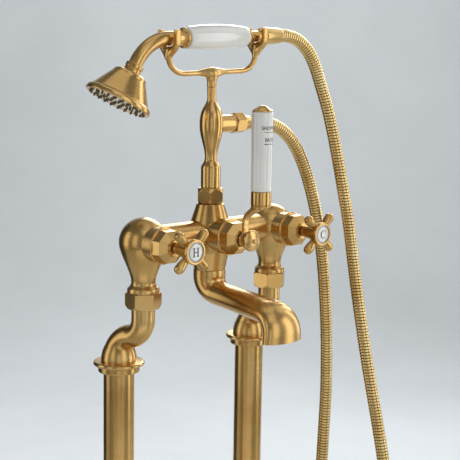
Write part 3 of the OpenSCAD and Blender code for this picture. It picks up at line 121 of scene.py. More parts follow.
def ring_faces(first, rows, sides, closed=True):
    """Four-sided faces between rings of points, from point first on.

    Closed joins the last ring to the first one.
    """
    faces = []
    for row in range(rows if closed else rows - 1):
        a, b = first + row * sides, first + (row + 1) % rows * sides
        for i in range(sides):
            j = (i + 1) % sides
            faces.append((a + i, a + j, b + j, b + i))
    return faces


def revolve(name, profile, place, sides=96):
    """A turned piece: a closed outline of (radius, height) in mm about the local z of place."""
    points = [place @ (Vector((r * c, r * s, h)) * MM) for r, h in profile for c, s in circle(sides)]
    return crisp(add_mesh(name, points, ring_faces(0, len(profile), sides)))


def curve(a, b, c, d, count):
    """Points of a cubic curve with ends a, d and handles b, c."""
    a, b, c, d = (np.array(p, float) for p in (a, b, c, d))
    t = np.linspace(0, 1, count + 1)[:, None]
    made = a * (1 - t) ** 3 + 3 * b * t * (1 - t) ** 2 + 3 * c * t * t * (1 - t) + d * t ** 3
    return [tuple(p) for p in made]


def ease(a, b, t):
    """From a to b with a soft start and a soft end."""
    return a + (b - a) * t * t * (3 - 2 * t)


def stand_in(piece, look, body, slot_name, *nodes):
    """Finish a piece that is shown in place of CAD nodes."""
    piece.data.materials.append(look)
    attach(piece, body)
    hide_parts(*nodes)


# Shower hose: one strip wound into a helix with a locked groove

HOSE_POINTS = [
    (54, -34, 913), (68, -34, 913), (92, -34, 909), (113, -34, 898), (130, -34, 881),
    (144, -34, 858), (156, -34, 831), (166, -34, 801), (176, -34, 760), (183, -34, 713),
    (188, -34, 660), (190, -34, 600), (189, -33, 540), (187, -32, 485), (185, -30, 430),
    (184, -28, 374), (184, -37, 341), (183, -61, 317), (183, -94, 308), (182, -127, 317),
    (181, -151, 341), (180, -160, 374), (178, -155, 437), (178, -144, 490), (178, -131, 545),
    (179, -117, 595), (180, -104, 640), (181, -91, 690), (182, -78, 745), (183, -66, 800),
    (182, -55, 845), (179, -46, 887), (173, -40, 922), (165, -36, 949), (157, -34, 970),
    (147, -34, 985), (136, -34, 995), (123, -34, 1002), (108, -34, 1005), (96, -34, 1005),
]
HOSE_START = (53.4, -34.0, 912.999)
HOSE_END = (96.131, -34.0, 1004.838)
HOSE_D = 14.0
HOSE_PITCH = 3.3
HOSE_SIDES = 32
HOSE_STEPS = 60
HOSE_PATH_POINTS = 400
CRADLE_TILT = math.radians(1.8)


def hose_route():
    """Closely spaced points (mm) of the hose's centreline, and how far along it each one is."""
    points = np.array(HOSE_POINTS, float)
    last = len(points) - 1
    share = ease(0.0, 1.0, np.linspace(0, 1, last + 1)[:, None])
    points += (np.array(HOSE_START) - points[0]) * (1 - share) + (np.array(HOSE_END) - points[last]) * share
    gaps = np.linalg.norm(np.diff(points, axis=0), axis=1)
    headings = np.zeros_like(points)
    headings[1:last] = (points[2:] - points[:-2]) / (gaps[1:] + gaps[:-1])[:, None]
    headings[0] = (1, 0, 0)
    headings[last] = (-math.cos(CRADLE_TILT), 0, -math.sin(CRADLE_TILT))
    fine = []
    for i in range(last):
        s = np.linspace(0, 1, HOSE_STEPS, endpoint=False)[:, None]
        fine.append(points[i] * (2 * s ** 3 - 3 * s ** 2 + 1) + points[i + 1] * (3 * s ** 2 - 2 * s ** 3)
                    + headings[i] * gaps[i] * (s ** 3 - 2 * s ** 2 + s)
                    + headings[i + 1] * gaps[i] * (s ** 3 - s ** 2))
    fine = np.vstack(fine + [points[last:]])
    run = np.concatenate([[0], np.cumsum(np.linalg.norm(np.diff(fine, axis=0), axis=1))])
    return fine, run


def carried_frames(line):
    """Two unit normals of a line, carried along it without twist."""
    heading = np.gradient(line, axis=0)
    heading /= np.linalg.norm(heading, axis=1)[:, None]
    side = np.zeros_like(line)
    side[0] = np.cross(heading[0], (0, 1, 0))
    side[0] /= np.linalg.norm(side[0])
    for i in range(1, len(line)):
        carried = side[i - 1] - heading[i] * side[i - 1].dot(heading[i])
        side[i] = carried / np.linalg.norm(carried)
    return side, np.cross(heading, side)


def build_hose():
    """The wound hose, with painted shade in its groove, and its centreline in metres."""
    fine, run = hose_route()
    length = run[-1]
    side, other = carried_frames(fine)
    # Share of the pitch, depth below the outer radius, and painted shade for the groove: a flat band with a narrow
    # groove
    strip = [(0.00, 1.00, 1.0), (0.07, 1.00, 1.0), (0.11, 0.32, 0.35), (0.16, 0.08, 0.0), (0.22, 0.01, 0.0),
             (0.50, 0.00, 0.0), (0.80, 0.01, 0.0), (0.86, 0.08, 0.0), (0.91, 0.32, 0.30), (0.95, 0.95, 0.9)]
    sides = HOSE_SIDES
    turns = int(length / HOSE_PITCH)
    pitch = length / turns
    rows = (turns - 1) * len(strip) + 1
    share, depth, groove_shade = np.array([strip[row % len(strip)] for row in range(rows)]).T
    around_it = np.arange(sides) / sides
    s = ((np.arange(rows) // len(strip) + share)[:, None] + 1 - around_it[None, :]) * pitch
    s = np.clip(s, 0.0, length)
    centre, u, v = (np.stack([np.interp(s, run, line[:, a]) for a in range(3)], axis=2)
                    for line in (fine, side, other))
    angle = (2 * math.pi * around_it)[None, :, None]
    radius = (HOSE_D / 2 - depth)[:, None, None]
    points = (centre + radius * (np.cos(angle) * u + np.sin(angle) * v)).reshape(-1, 3) * MM
    groove_shades = np.repeat(groove_shade, sides)
    faces = []
    for row in range(rows - 1):
        for k in range(sides):
            a, b = row * sides + k, (row + 1) * sides + k
            if k < sides - 1:
                faces.append((a, a + 1, b + 1, b))
            elif row >= len(strip):
                c = (row - len(strip)) * sides
                faces.append((a, c, c + sides, b))
    piece = add_mesh("shower_hose_wound", points.tolist(), faces)
    # The groove attribute carries the painted shade of the groove
    groove = piece.data.attributes.new("groove", "FLOAT", "POINT")
    groove.data.foreach_set("value", groove_shades.astype(np.float32))
    s = np.linspace(0, length, HOSE_PATH_POINTS)
    path = np.stack([np.interp(s, run, fine[:, a]) for a in range(3)], axis=1) * MM
    return piece, path


hose, hose_path = build_hose()


# Materials

# Sockets of a colour mix, which share their names
MIX_FACTOR, MIX_A, MIX_B, MIX_RESULT = 0, 6, 7, 2
NOISE_LOW, NOISE_HIGH = 0.3, 0.7


def new_material(name):
    """A new material with its node tree and its shader."""
    material = bpy.data.materials.new(name)
    material.use_nodes = True
    tree = material.node_tree
    shader = tree.nodes["Principled BSDF"]
    return material, tree, shader


def node(tree, kind, **values):
    """A new node with these values on its sockets, or on the node itself."""
    made = tree.nodes.new(kind)
    for key, value in values.items():
        if key in made.inputs:
            made.inputs[key].default_value = value
        else:
            setattr(made, key, value)
    return made


def ramp(tree, source, stops):
    """A colour ramp fed by source, with (place, colour) stops."""
    made = tree.nodes.new("ShaderNodeValToRGB")
    elements = made.color_ramp.elements
    while len(elements) < len(stops):
        elements.new(0.5)
    for element, (place, colour) in zip(elements, stops):
        element.position = place
        element.color = colour if len(colour) == 4 else (*colour, 1.0)
    tree.links.new(source, made.inputs["Fac"])
    return made.outputs["Color"]


def span(tree, source, low, high):
    """Noise spread over low to high."""
    made = tree.nodes.new("ShaderNodeMapRange")
    made.inputs["From Min"].default_value = NOISE_LOW
    made.inputs["From Max"].default_value = NOISE_HIGH
    made.inputs["To Min"].default_value = low
    made.inputs["To Max"].default_value = high
    tree.links.new(source, made.inputs["Value"])
    return made.outputs["Result"]


BRASS_DEEP = (0.508, 0.298, 0.093)
BRASS_MID = (0.618, 0.383, 0.131)
BRASS_PALE = (0.698, 0.457, 0.177)
EVEN = (1.0, 1.0, 1.0)
# Painted shade: the colour that darkens the groove of the hose
GROOVE_PAINTED_SHADE = (0.160, 0.090, 0.030, 1.0)
STREAKS = 0.22
SOFT_EDGE = 0.0006


def brass(name, brush, turn=(0.0, 0.0, 0.0), axis=None, edge=SOFT_EDGE, rough=(0.20, 0.27), lift=EVEN,
          groove=False):
    """Brushed brass.

    brush: lines per metre along each axis; axis: what the piece was turned on; lift: its tint; groove: painted
    shade darkening the groove of the hose.
    """
    material, tree, shader = new_material(name)
    links = tree.links
    place = node(tree, "ShaderNodeTexCoord")
    lined = node(tree, "ShaderNodeMapping")
    lined.inputs["Scale"].default_value = brush
    lined.inputs["Rotation"].default_value = turn
    links.new(place.outputs["Object"], lined.inputs["Vector"])
    lines = node(tree, "ShaderNodeTexNoise", Scale=1.0, Detail=4.0, Roughness=0.65)
    links.new(lined.outputs["Vector"], lines.inputs["Vector"])
    cloud = node(tree, "ShaderNodeTexNoise", Scale=16.0, Detail=4.0, Roughness=0.55)
    links.new(place.outputs["Object"], cloud.inputs["Vector"])
    grain = node(tree, "ShaderNodeTexNoise", Scale=1400.0, Detail=2.0, Roughness=0.5)
    links.new(place.outputs["Object"], grain.inputs["Vector"])

    stops = [tuple(min(1.0, more * part) for more, part in zip(lift, colour))
             for colour in (BRASS_DEEP, BRASS_MID, BRASS_PALE)]
    tone = ramp(tree, cloud.outputs["Fac"], list(zip((0.30, 0.5, 0.72), stops)))
    streak = ramp(tree, lines.outputs["Fac"], [(0.32, (0.86, 0.84, 0.80)), (0.60, EVEN)])
    shade = node(tree, "ShaderNodeMix", data_type="RGBA", blend_type="MULTIPLY")
    shade.inputs[MIX_FACTOR].default_value = STREAKS
    links.new(tone, shade.inputs[MIX_A])
    links.new(streak, shade.inputs[MIX_B])
    colour = shade.outputs[MIX_RESULT]
    # Painted shade: where the hose's groove attribute is high, the colour is darkened
    if groove:
        groove_shade = node(tree, "ShaderNodeAttribute", attribute_name="groove")
        dark = node(tree, "ShaderNodeMix", data_type="RGBA", blend_type="MIX")
        dark.inputs[MIX_B].default_value = GROOVE_PAINTED_SHADE
        links.new(groove_shade.outputs["Fac"], dark.inputs[MIX_FACTOR])
        links.new(colour, dark.inputs[MIX_A])
        colour = dark.outputs[MIX_RESULT]
    links.new(colour, shader.inputs["Base Color"])
    shader.inputs["Metallic"].default_value = 1.0

    blur = node(tree, "ShaderNodeMath", operation="ADD")
    links.new(span(tree, lines.outputs["Fac"], rough[0], rough[1]), blur.inputs[0])
    links.new(span(tree, cloud.outputs["Fac"], -0.02, 0.03), blur.inputs[1])
    links.new(blur.outputs[0], shader.inputs["Roughness"])
    if axis:
        round_about = node(tree, "ShaderNodeTangent", direction_type="RADIAL", axis=axis)
        links.new(round_about.outputs["Tangent"], shader.inputs["Tangent"])
        shader.inputs["Anisotropic"].default_value = 0.55
        shader.inputs["Anisotropic Rotation"].default_value = 0.25

    fine = node(tree, "ShaderNodeBump", Strength=0.012, Distance=0.0002)
    links.new(lines.outputs["Fac"], fine.inputs["Height"])
    pits = node(tree, "ShaderNodeBump", Strength=0.006, Distance=0.0002)
    links.new(grain.outputs["Fac"], pits.inputs["Height"])
    links.new(fine.outputs["Normal"], pits.inputs["Normal"])
    if edge:
        soft = node(tree, "ShaderNodeBevel", Radius=edge, samples=6)
        links.new(soft.outputs["Normal"], fine.inputs["Normal"])
    links.new(pits.outputs["Normal"], shader.inputs["Normal"])
    return material


def porcelain(name):
    """White glaze: faint clouding, slight waves and a clear gloss."""
    material, tree, shader = new_material(name)
    links = tree.links
    place = node(tree, "ShaderNodeTexCoord")
    cloud = node(tree, "ShaderNodeTexNoise", Scale=30.0, Detail=3.0, Roughness=0.5)
    links.new(place.outputs["Object"], cloud.inputs["Vector"])
    wave = node(tree, "ShaderNodeTexNoise", Scale=60.0, Detail=1.0, Roughness=0.4)
    links.new(place.outputs["Object"], wave.inputs["Vector"])
    tone = ramp(tree, cloud.outputs["Fac"], [(NOISE_LOW, (0.79, 0.785, 0.73)), (NOISE_HIGH, (0.86, 0.855, 0.80))])
    links.new(tone, shader.inputs["Base Color"])
    links.new(span(tree, cloud.outputs["Fac"], 0.10, 0.18), shader.inputs["Roughness"])
    shader.inputs["Coat Weight"].default_value = 0.6
    shader.inputs["Coat Roughness"].default_value = 0.05
    shader.inputs["Subsurface Weight"].default_value = 0.08
    shader.inputs["Subsurface Radius"].default_value = (0.002, 0.002, 0.0016)
    soft = node(tree, "ShaderNodeBevel", Radius=SOFT_EDGE, samples=6)
    bump = node(tree, "ShaderNodeBump", Strength=0.06, Distance=0.001)
    links.new(wave.outputs["Fac"], bump.inputs["Height"])
    links.new(soft.outputs["Normal"], bump.inputs["Normal"])
    links.new(bump.outputs["Normal"], shader.inputs["Normal"])
    return material


def dull(name, dark, pale, scale, rough, metallic=0.0):
    """A plain working material with a fine grain."""
    material, tree, shader = new_material(name)
    links = tree.links
    place = node(tree, "ShaderNodeTexCoord")
    grain = node(tree, "ShaderNodeTexNoise", Scale=scale, Detail=4.0, Roughness=0.6)
    links.new(place.outputs["Object"], grain.inputs["Vector"])
    tone = ramp(tree, grain.outputs["Fac"], [(NOISE_LOW, dark), (NOISE_HIGH, pale)])
    links.new(tone, shader.inputs["Base Color"])
    links.new(span(tree, grain.outputs["Fac"], rough[0], rough[1]), shader.inputs["Roughness"])
    shader.inputs["Metallic"].default_value = metallic
    bump = node(tree, "ShaderNodeBump", Strength=0.15, Distance=0.0002)
    links.new(grain.outputs["Fac"], bump.inputs["Height"])
    links.new(bump.outputs["Normal"], shader.inputs["Normal"])
    return material


LINE, ALONG = 4200.0, 30.0
brass_z = brass("brass_turned_z", (ALONG, ALONG, LINE), axis="Z")
brass_y = brass("brass_turned_y", (ALONG, LINE, ALONG), axis="Y")
brass_x = brass("brass_turned_x", (LINE, ALONG, ALONG), axis="X")
brass_rose = brass("brass_turned_rose", (ALONG, ALONG, LINE), turn=(0.0, math.radians(28.6), 0.0))
brass_cast = brass("brass_linished", (2600.0, 2600.0, 300.0), edge=0.0, rough=(0.25, 0.29))
brass_flat = brass("brass_satin", (3000.0, 3000.0, 3000.0), rough=(0.20, 0.24))
brass_plate = brass("brass_polished", (ALONG, ALONG, ALONG), rough=(0.10, 0.14), lift=(1.20, 1.45, 2.0))
brass_nut = brass("brass_turned_nut", (LINE, ALONG, ALONG), axis="X", lift=(1.10, 1.20, 1.34))
# The hose's brass, with painted shade darkening its groove
brass_hose_groove_shade = brass("brass_hose_groove_shade", (60.0, 60.0, 60.0), edge=0.0, rough=(0.22, 0.28), lift=(1.20, 1.40, 1.72),
                   groove=True)
white = porcelain("porcelain_glaze")
ink = dull("enamel_black", (0.012, 0.012, 0.014), (0.030, 0.030, 0.032), 1500.0, (0.25, 0.40))
ceramic = dull("ceramic_disc", (0.60, 0.59, 0.56), (0.70, 0.69, 0.66), 800.0, (0.20, 0.30))
rubber = dull("rubber_black", (0.012, 0.012, 0.013), (0.030, 0.030, 0.030), 900.0, (0.55, 0.75))
# Rubber of the nozzles, made dark brown also as painted shade among the nozzles
nozzle_rubber_and_shade = dull("rubber_brown_and_painted_shade", (0.085, 0.060, 0.028), (0.140, 0.100, 0.050), 900.0, (0.45, 0.65))
fibre = dull("fibre_red", (0.16, 0.045, 0.03), (0.26, 0.08, 0.05), 700.0, (0.65, 0.85))
machined = brass("brass_machined", (ALONG, LINE, ALONG), rough=(0.26, 0.36))

# Looks of the CAD nodes that are shown, where the slot's own look doesn't fit
BRUSH = {
    "hot_bonnet": brass_y, "cold_bonnet": brass_y, "diverter_bonnet": brass_y,
    "hot_cross_handle": brass_y, "cold_cross_handle": brass_y, "hot_spindle": machined, "cold_spindle": machined,
    "mixer_body": brass_cast, "outlet_hose_nut": brass_x, "rose_collar": brass_rose,
    "hot_union_nut": brass_flat, "cold_union_nut": brass_flat, "riser_nut": brass_flat,
    "front_ferrule": brass_x, "handset_tail": brass_x,
}
SLOT_LOOK = {"brushed_brass": brass_z, "machined_brass": machined, "porcelain": white,
             "ceramic": ceramic, "rubber": rubber, "fibre": fibre}


def dress(cad, look):
    """Give a CAD node one look."""
    for place in cad.material_slots:
        place.material = look
    if not cad.material_slots:
        cad.data.materials.append(look)


slot_of = {part["node"]: part["material_slot"] for part in frame["record"]["subparts"]}
for name, cad in frame["nodes"].items():
    dress(cad, BRUSH.get(name, SLOT_LOOK.get(slot_of.get(name), brass_z)))
hose.data.materials.append(brass_hose_groove_shade)


# Marks of the index discs

def plates(name, outlines, thick, put):
    """Flat outlines (mm) given a thickness; put takes (across, up, out) to a point in metres."""
    points, faces = [], []
    for outline in outlines:
        first, count = len(points), len(outline)
        points += [put(x, y, 0.0) for x, y in outline] + [put(x, y, thick) for x, y in outline]
        faces.append(tuple(range(first, first + count)))
        faces.append(tuple(range(first + count, first + 2 * count)))
        for i in range(count):
            j = (i + 1) % count
            faces.append((first + i, first + j, first + count + j, first + count + i))
    return add_mesh(name, points, faces, smooth=False)


def bar(x0, y0, x1, y1):
    """A straight stroke."""
    return [(x0, y0), (x1, y0), (x1, y1), (x0, y1)]


def bow(outer, inner, shift, start, end, count=28):
    """A curved stroke between two ovals, from start to end degrees, in quads."""
    angles = [math.radians(start + (end - start) * i / count) for i in range(count + 1)]
    rims = [((outer[0] * math.cos(a), outer[1] * math.sin(a)),
             (shift + inner[0] * math.cos(a), inner[1] * math.sin(a))) for a in angles]
    return [[rims[i][0], rims[i + 1][0], rims[i + 1][1], rims[i][1]] for i in range(count)]


LETTER_H = [bar(-3.2, -3.9, -1.7, 3.9), bar(1.7, -3.9, 3.2, 3.9), bar(-1.7, -0.35, 1.7, 0.35),
            bar(-4.0, 3.9, -0.9, 4.4), bar(0.9, 3.9, 4.0, 4.4),
            bar(-4.0, -4.4, -0.9, -3.9), bar(0.9, -4.4, 4.0, -3.9)]
LETTER_C = bow((4.0, 4.4), (3.0, 3.85), 0.5, 40, 325) + [bar(2.75, 1.3, 3.3, 4.1)]
RING = bow((8.75, 8.75), (8.40, 8.40), 0.0, 0, 360, 96)
MARK_T, MARK_SINK = 0.08, 0.02


def index_mark(name, disc, body, letter):
    """A letter in a ring on the face of an index disc."""
    low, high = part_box(disc)
    centre_x, centre_z, face_y = (low.x + high.x) / 2, (low.z + high.z) / 2, low.y

    def put(across, upward, out):
        return (centre_x + across * MM, face_y + (MARK_SINK - out) * MM, centre_z + upward * MM)

    mark = plates(name, letter + RING, MARK_T, put)
    mark.data.materials.append(ink)
    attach(mark, body)


index_mark("hot_index_mark", "hot_index_disc", "hot_tap", LETTER_H)
index_mark("cold_index_mark", "cold_index_disc", "cold_tap", LETTER_C)


# Lever

LEVER_LENGTH, LEVER_FOOT_R, LEVER_HEAD_R = 79.4, 10.5, 10.95


def lever_radius(height):
    """Radius (mm) of the tapering lever, height mm above its foot."""
    return LEVER_FOOT_R + (LEVER_HEAD_R - LEVER_FOOT_R) * height / LEVER_LENGTH


def build_lever():
    """The lever's tapering porcelain and its hat-shaped dome."""
    low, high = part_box("lever_porcelain")
    place = Matrix.Translation(((low.x + high.x) / 2, (low.y + high.y) / 2, low.z))
    soft, bore = 1.3, 2.65
    corner = [math.radians(a) for a in (-90, -70, -45, -20, 0)]
    barrel = ([(LEVER_FOOT_R - soft + soft * math.cos(a), soft + soft * math.sin(a)) for a in corner]
              + [(lever_radius(h), h) for h in np.linspace(8, LEVER_LENGTH - 8, 12)]
              + [(LEVER_HEAD_R - soft - soft * math.sin(a), LEVER_LENGTH - soft + soft * math.cos(a))
                 for a in corner]
              + [(bore, LEVER_LENGTH), (bore, 0.0)])
    stand_in(revolve("lever_porcelain_taper", barrel, place), white, "diverter", "porcelain", "lever_porcelain")
    low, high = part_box("lever_dome")
    place = Matrix.Translation(((low.x + high.x) / 2, (low.y + high.y) / 2, low.z))
    tall = (high.z - low.z) / MM
    hat = ([(bore, 0.0), (10.2, 0.0), (10.55, 0.2), (10.62, 0.6), (10.5, 1.0), (10.1, 1.4)]
           + curve((9.7, 1.65), (7.6, 2.9), (6.4, tall - 2.2), (4.2, tall - 1.1), 10)
           + curve((3.8, tall - 0.9), (2.6, tall - 0.2), (1.4, tall), (AXIS_R, tall), 8)
           + [(AXIS_R, 3.2), (bore, 3.2)])
    stand_in(revolve("lever_dome_hat", hat, place), brass_z, "diverter", "brushed_brass", "lever_dome")


build_lever()


def lever_mark():
    """Plain function words and arrows, wrapped round the front of the lever."""
    low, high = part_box("lever_porcelain")
    axis_x, axis_y = (low.x + high.x) / 2, (low.y + high.y) / 2
    foot = low.z - VALVE_Z
    rows = [("SHOWER", 115.4), ("BATH", 103.8)]
    size, squeeze, weight = 3.7 * 1.4, 0.84, 0.09
    arrows = [(1, 111.3), (-1, 99.6)]
    tail, neck, barb, tip, half, barb_half = -6.2, 4.4, 4.2, 6.4, 0.24, 0.95

    def put(across, upward, out):
        radius = lever_radius(upward - foot / MM) * MM
        angle = across * MM / radius
        r = radius + (out - MARK_SINK) * MM
        return (axis_x + r * math.sin(angle), axis_y - r * math.cos(angle), VALVE_Z + upward * MM)

    points, faces = [], []
    for word, height in rows:
        text = bpy.data.curves.new("word", "FONT")
        text.body = word
        text.size = size
        text.align_x, text.align_y = "CENTER", "CENTER"
        text.extrude = MARK_T / 2
        text.offset = weight
        holder = bpy.data.objects.new("word", text)
        bpy.context.scene.collection.objects.link(holder)
        drawn = holder.evaluated_get(bpy.context.evaluated_depsgraph_get()).to_mesh()
        first = len(points)
        points += [put(squeeze * v.co.x, height + v.co.y, v.co.z + MARK_T / 2) for v in drawn.vertices]
        faces += [tuple(first + i for i in polygon.vertices) for polygon in drawn.polygons]
        bpy.data.objects.remove(holder)
        bpy.data.curves.remove(text)
    words = add_mesh("lever_words", points, faces, smooth=False)
    outlines = []
    for way, height in arrows:
        shaft = np.linspace(tail, neck, 15)
        for a, b in zip(shaft[:-1], shaft[1:]):
            quad = bar(a, height - half, b, height + half)
            outlines.append([(way * x, y) for x, y in quad])
        outlines.append([(way * barb, height - barb_half), (way * tip, height), (way * barb, height + barb_half)])
    lines = plates("lever_arrows", outlines, MARK_T, put)
    for mark in (words, lines):
        mark.data.materials.append(ink)
        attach(mark, "diverter")


lever_mark()


# Handset

CRADLE = Matrix.Translation((0.0, BODY_Y, VALVE_Z + 167.6 * MM)) @ Matrix.Rotation(-CRADLE_TILT, 4, "Y")
HANDSET = CRADLE @ Matrix.Translation((0.0, 0.0, 35.7 * MM)) @ Matrix.Rotation(math.radians(8.0), 4, "X")
NECK_BEND, NECK_BEND_R, NECK_START = math.radians(61.4), 43.5, -59.0
ROSE = (HANDSET @ Matrix.Translation(((NECK_START - NECK_BEND_R * math.sin(NECK_BEND)) * MM, 0.0,
                                      -NECK_BEND_R * (1 - math.cos(NECK_BEND)) * MM))
        @ Matrix.Rotation(math.radians(270.0) - NECK_BEND, 4, "Y"))
PLATE_FACE = 43.5
NOZZLE_PITCH, NOZZLE_RINGS, NOZZLE_SIDES = 7.2, 4, 14
NOZZLE = [(0.55, -0.02), (1.24, -0.02), (1.14, 0.25), (0.96, 1.60), (0.88, 1.86), (0.74, 1.95), (0.57, 1.88)]


def build_nozzles():
    """Tapered spray nozzles round every hole of the rose plate."""
    points, faces = [], []
    for ring in range(1, NOZZLE_RINGS + 1):
        for x, y in circle(6 * ring):
            middle = Vector((NOZZLE_PITCH * ring * x, NOZZLE_PITCH * ring * y, PLATE_FACE))
            faces += ring_faces(len(points), len(NOZZLE), NOZZLE_SIDES)
            points += [ROSE @ ((middle + Vector((r * c, r * s, h))) * MM)
                       for r, h in NOZZLE for c, s in circle(NOZZLE_SIDES)]
    nozzles = add_mesh("spray_nozzles", points, faces)
    # The nozzles' dark brown is partly their rubber and partly painted shade among them
    nozzles.data.materials.append(nozzle_rubber_and_shade)
    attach(nozzles, "handset")


build_nozzles()


def build_handset():
    """The rose with its deep rim, the porcelain grip, the nut of the hose and the neck, fuller than in the CAD."""
    top, rim = 11.51, 43.7
    shell = ([(4.6, top), (11.5, top)]
             + curve((12.0, top), (14.8, top + 0.1), (16.6, top + 1.2), (17.3, top + 3.6), 8)
             + curve((17.7, top + 4.6), (20.6, top + 9.6), (26.3, rim - 13.6), (29.6, rim - 7.6), 12)
             + [(29.9, rim - 7.2), (29.9, rim - 6.9)]
             + curve((30.6, rim - 6.5), (32.6, rim - 5.9), (33.6, rim - 4.6), (33.8, rim - 2.6), 8)
             + curve((33.9, rim - 1.9), (34.2, rim - 0.9), (34.0, rim), (33.0, rim), 6)
             + [(30.7, rim), (30.45, rim - 0.4), (30.45, rim - 2.2), (28.9, rim - 2.2), (27.0, 35.0),
                (15.2, top + 5.5), (13.0, top + 3.0), (4.6, top + 3.0)])
    stand_in(revolve("rose_shell_deep", shell, ROSE, 128), brass_rose, "handset", "brushed_brass", "rose_shell")
    plate = ([(AXIS_R, rim - 2.2), (30.4, rim - 2.2), (30.4, PLATE_FACE - 0.2), (30.2, PLATE_FACE)]
             + [(r, PLATE_FACE) for r in (24.0, 16.0, 8.0, AXIS_R)])
    stand_in(revolve("rose_plate_face", plate, ROSE), brass_plate, "handset", "brushed_brass", "rose_plate")

    along = HANDSET @ Matrix.Rotation(math.radians(90.0), 4, "Y")
    front, rear, bore = -35.49, 47.5, 4.6
    barrel = [(bore, front), (9.6, front), (10.3, front + 0.2), (10.8, front + 0.7)]
    belly, belly_r, front_r, rear_r, bulge = 4, 13.25, 11.0, 10.2, 2.1
    for x in np.linspace(front + 1.4, rear - 1.6, 40):
        end_r, reach = (front_r, belly - front) if x < belly else (rear_r, rear - belly)
        barrel.append((belly_r - (belly_r - end_r) * (abs(x - belly) / reach) ** bulge, x))
    barrel += [(9.9, rear - 0.7), (9.4, rear - 0.2), (8.8, rear), (bore, rear)]
    stand_in(revolve("porcelain_grip_barrel", barrel, along), white, "handset", "porcelain", "porcelain_grip")

    nut = ([(6.45, 73.25), (8.9, 73.25), (9.3, 73.5), (9.45, 74.0)]
           + curve((9.45, 75.0), (9.45, 82.0), (8.7, 90.0), (8.15, 97.0), 12)
           + [(8.0, 98.3), (7.75, 98.7), (7.05, 98.7), (7.05, 95.6), (6.45, 95.5)])
    stand_in(revolve("handset_hose_nut_taper", nut, along), brass_nut, "handset", "brushed_brass",
             "handset_hose_nut")

    neck_r, end, past, sides = 7.15, -43.1, 11.5, 64
    line = [Vector((x, 0.0, 0.0)) for x in np.linspace(end, NECK_START, 5)]
    for a in np.linspace(0, NECK_BEND, 30)[1:]:
        line.append(Vector((NECK_START - NECK_BEND_R * math.sin(a), 0.0, -NECK_BEND_R * (1 - math.cos(a)))))
    spray = Vector((-math.cos(NECK_BEND), 0.0, -math.sin(NECK_BEND)))
    line += [line[-1] + spray * d for d in (4.0, 8.0, past)]
    line = np.array([tuple(p) for p in line])
    side, other = carried_frames(line)
    points = [HANDSET @ (Vector(p + neck_r * (c * u + s * v)) * MM)
              for p, u, v in zip(line, side, other) for c, s in circle(sides)]
    last = (len(line) - 1) * sides
    faces = ring_faces(0, len(line), sides, closed=False)
    faces += [tuple(range(sides)), tuple(range(last, last + sides))]
    neck = crisp(add_mesh("handset_neck_full", points, faces))
    stand_in(neck, brass_cast, "handset", "brushed_brass", "handset_neck")


build_handset()


# Cradle and lever strap: castings skinned from a field of distances

FAR, SEGMENT_SEAM = 6.0, 0.05
BAR_MARGIN, STRAP_MARGIN = 9, 8


def rounded_min(a, b, k):
    """The lesser of two distances, with the seam between them filled to about k."""
    return np.minimum(a, b) - np.maximum(k - np.abs(a - b), 0.0) ** 2 / (4 * k)


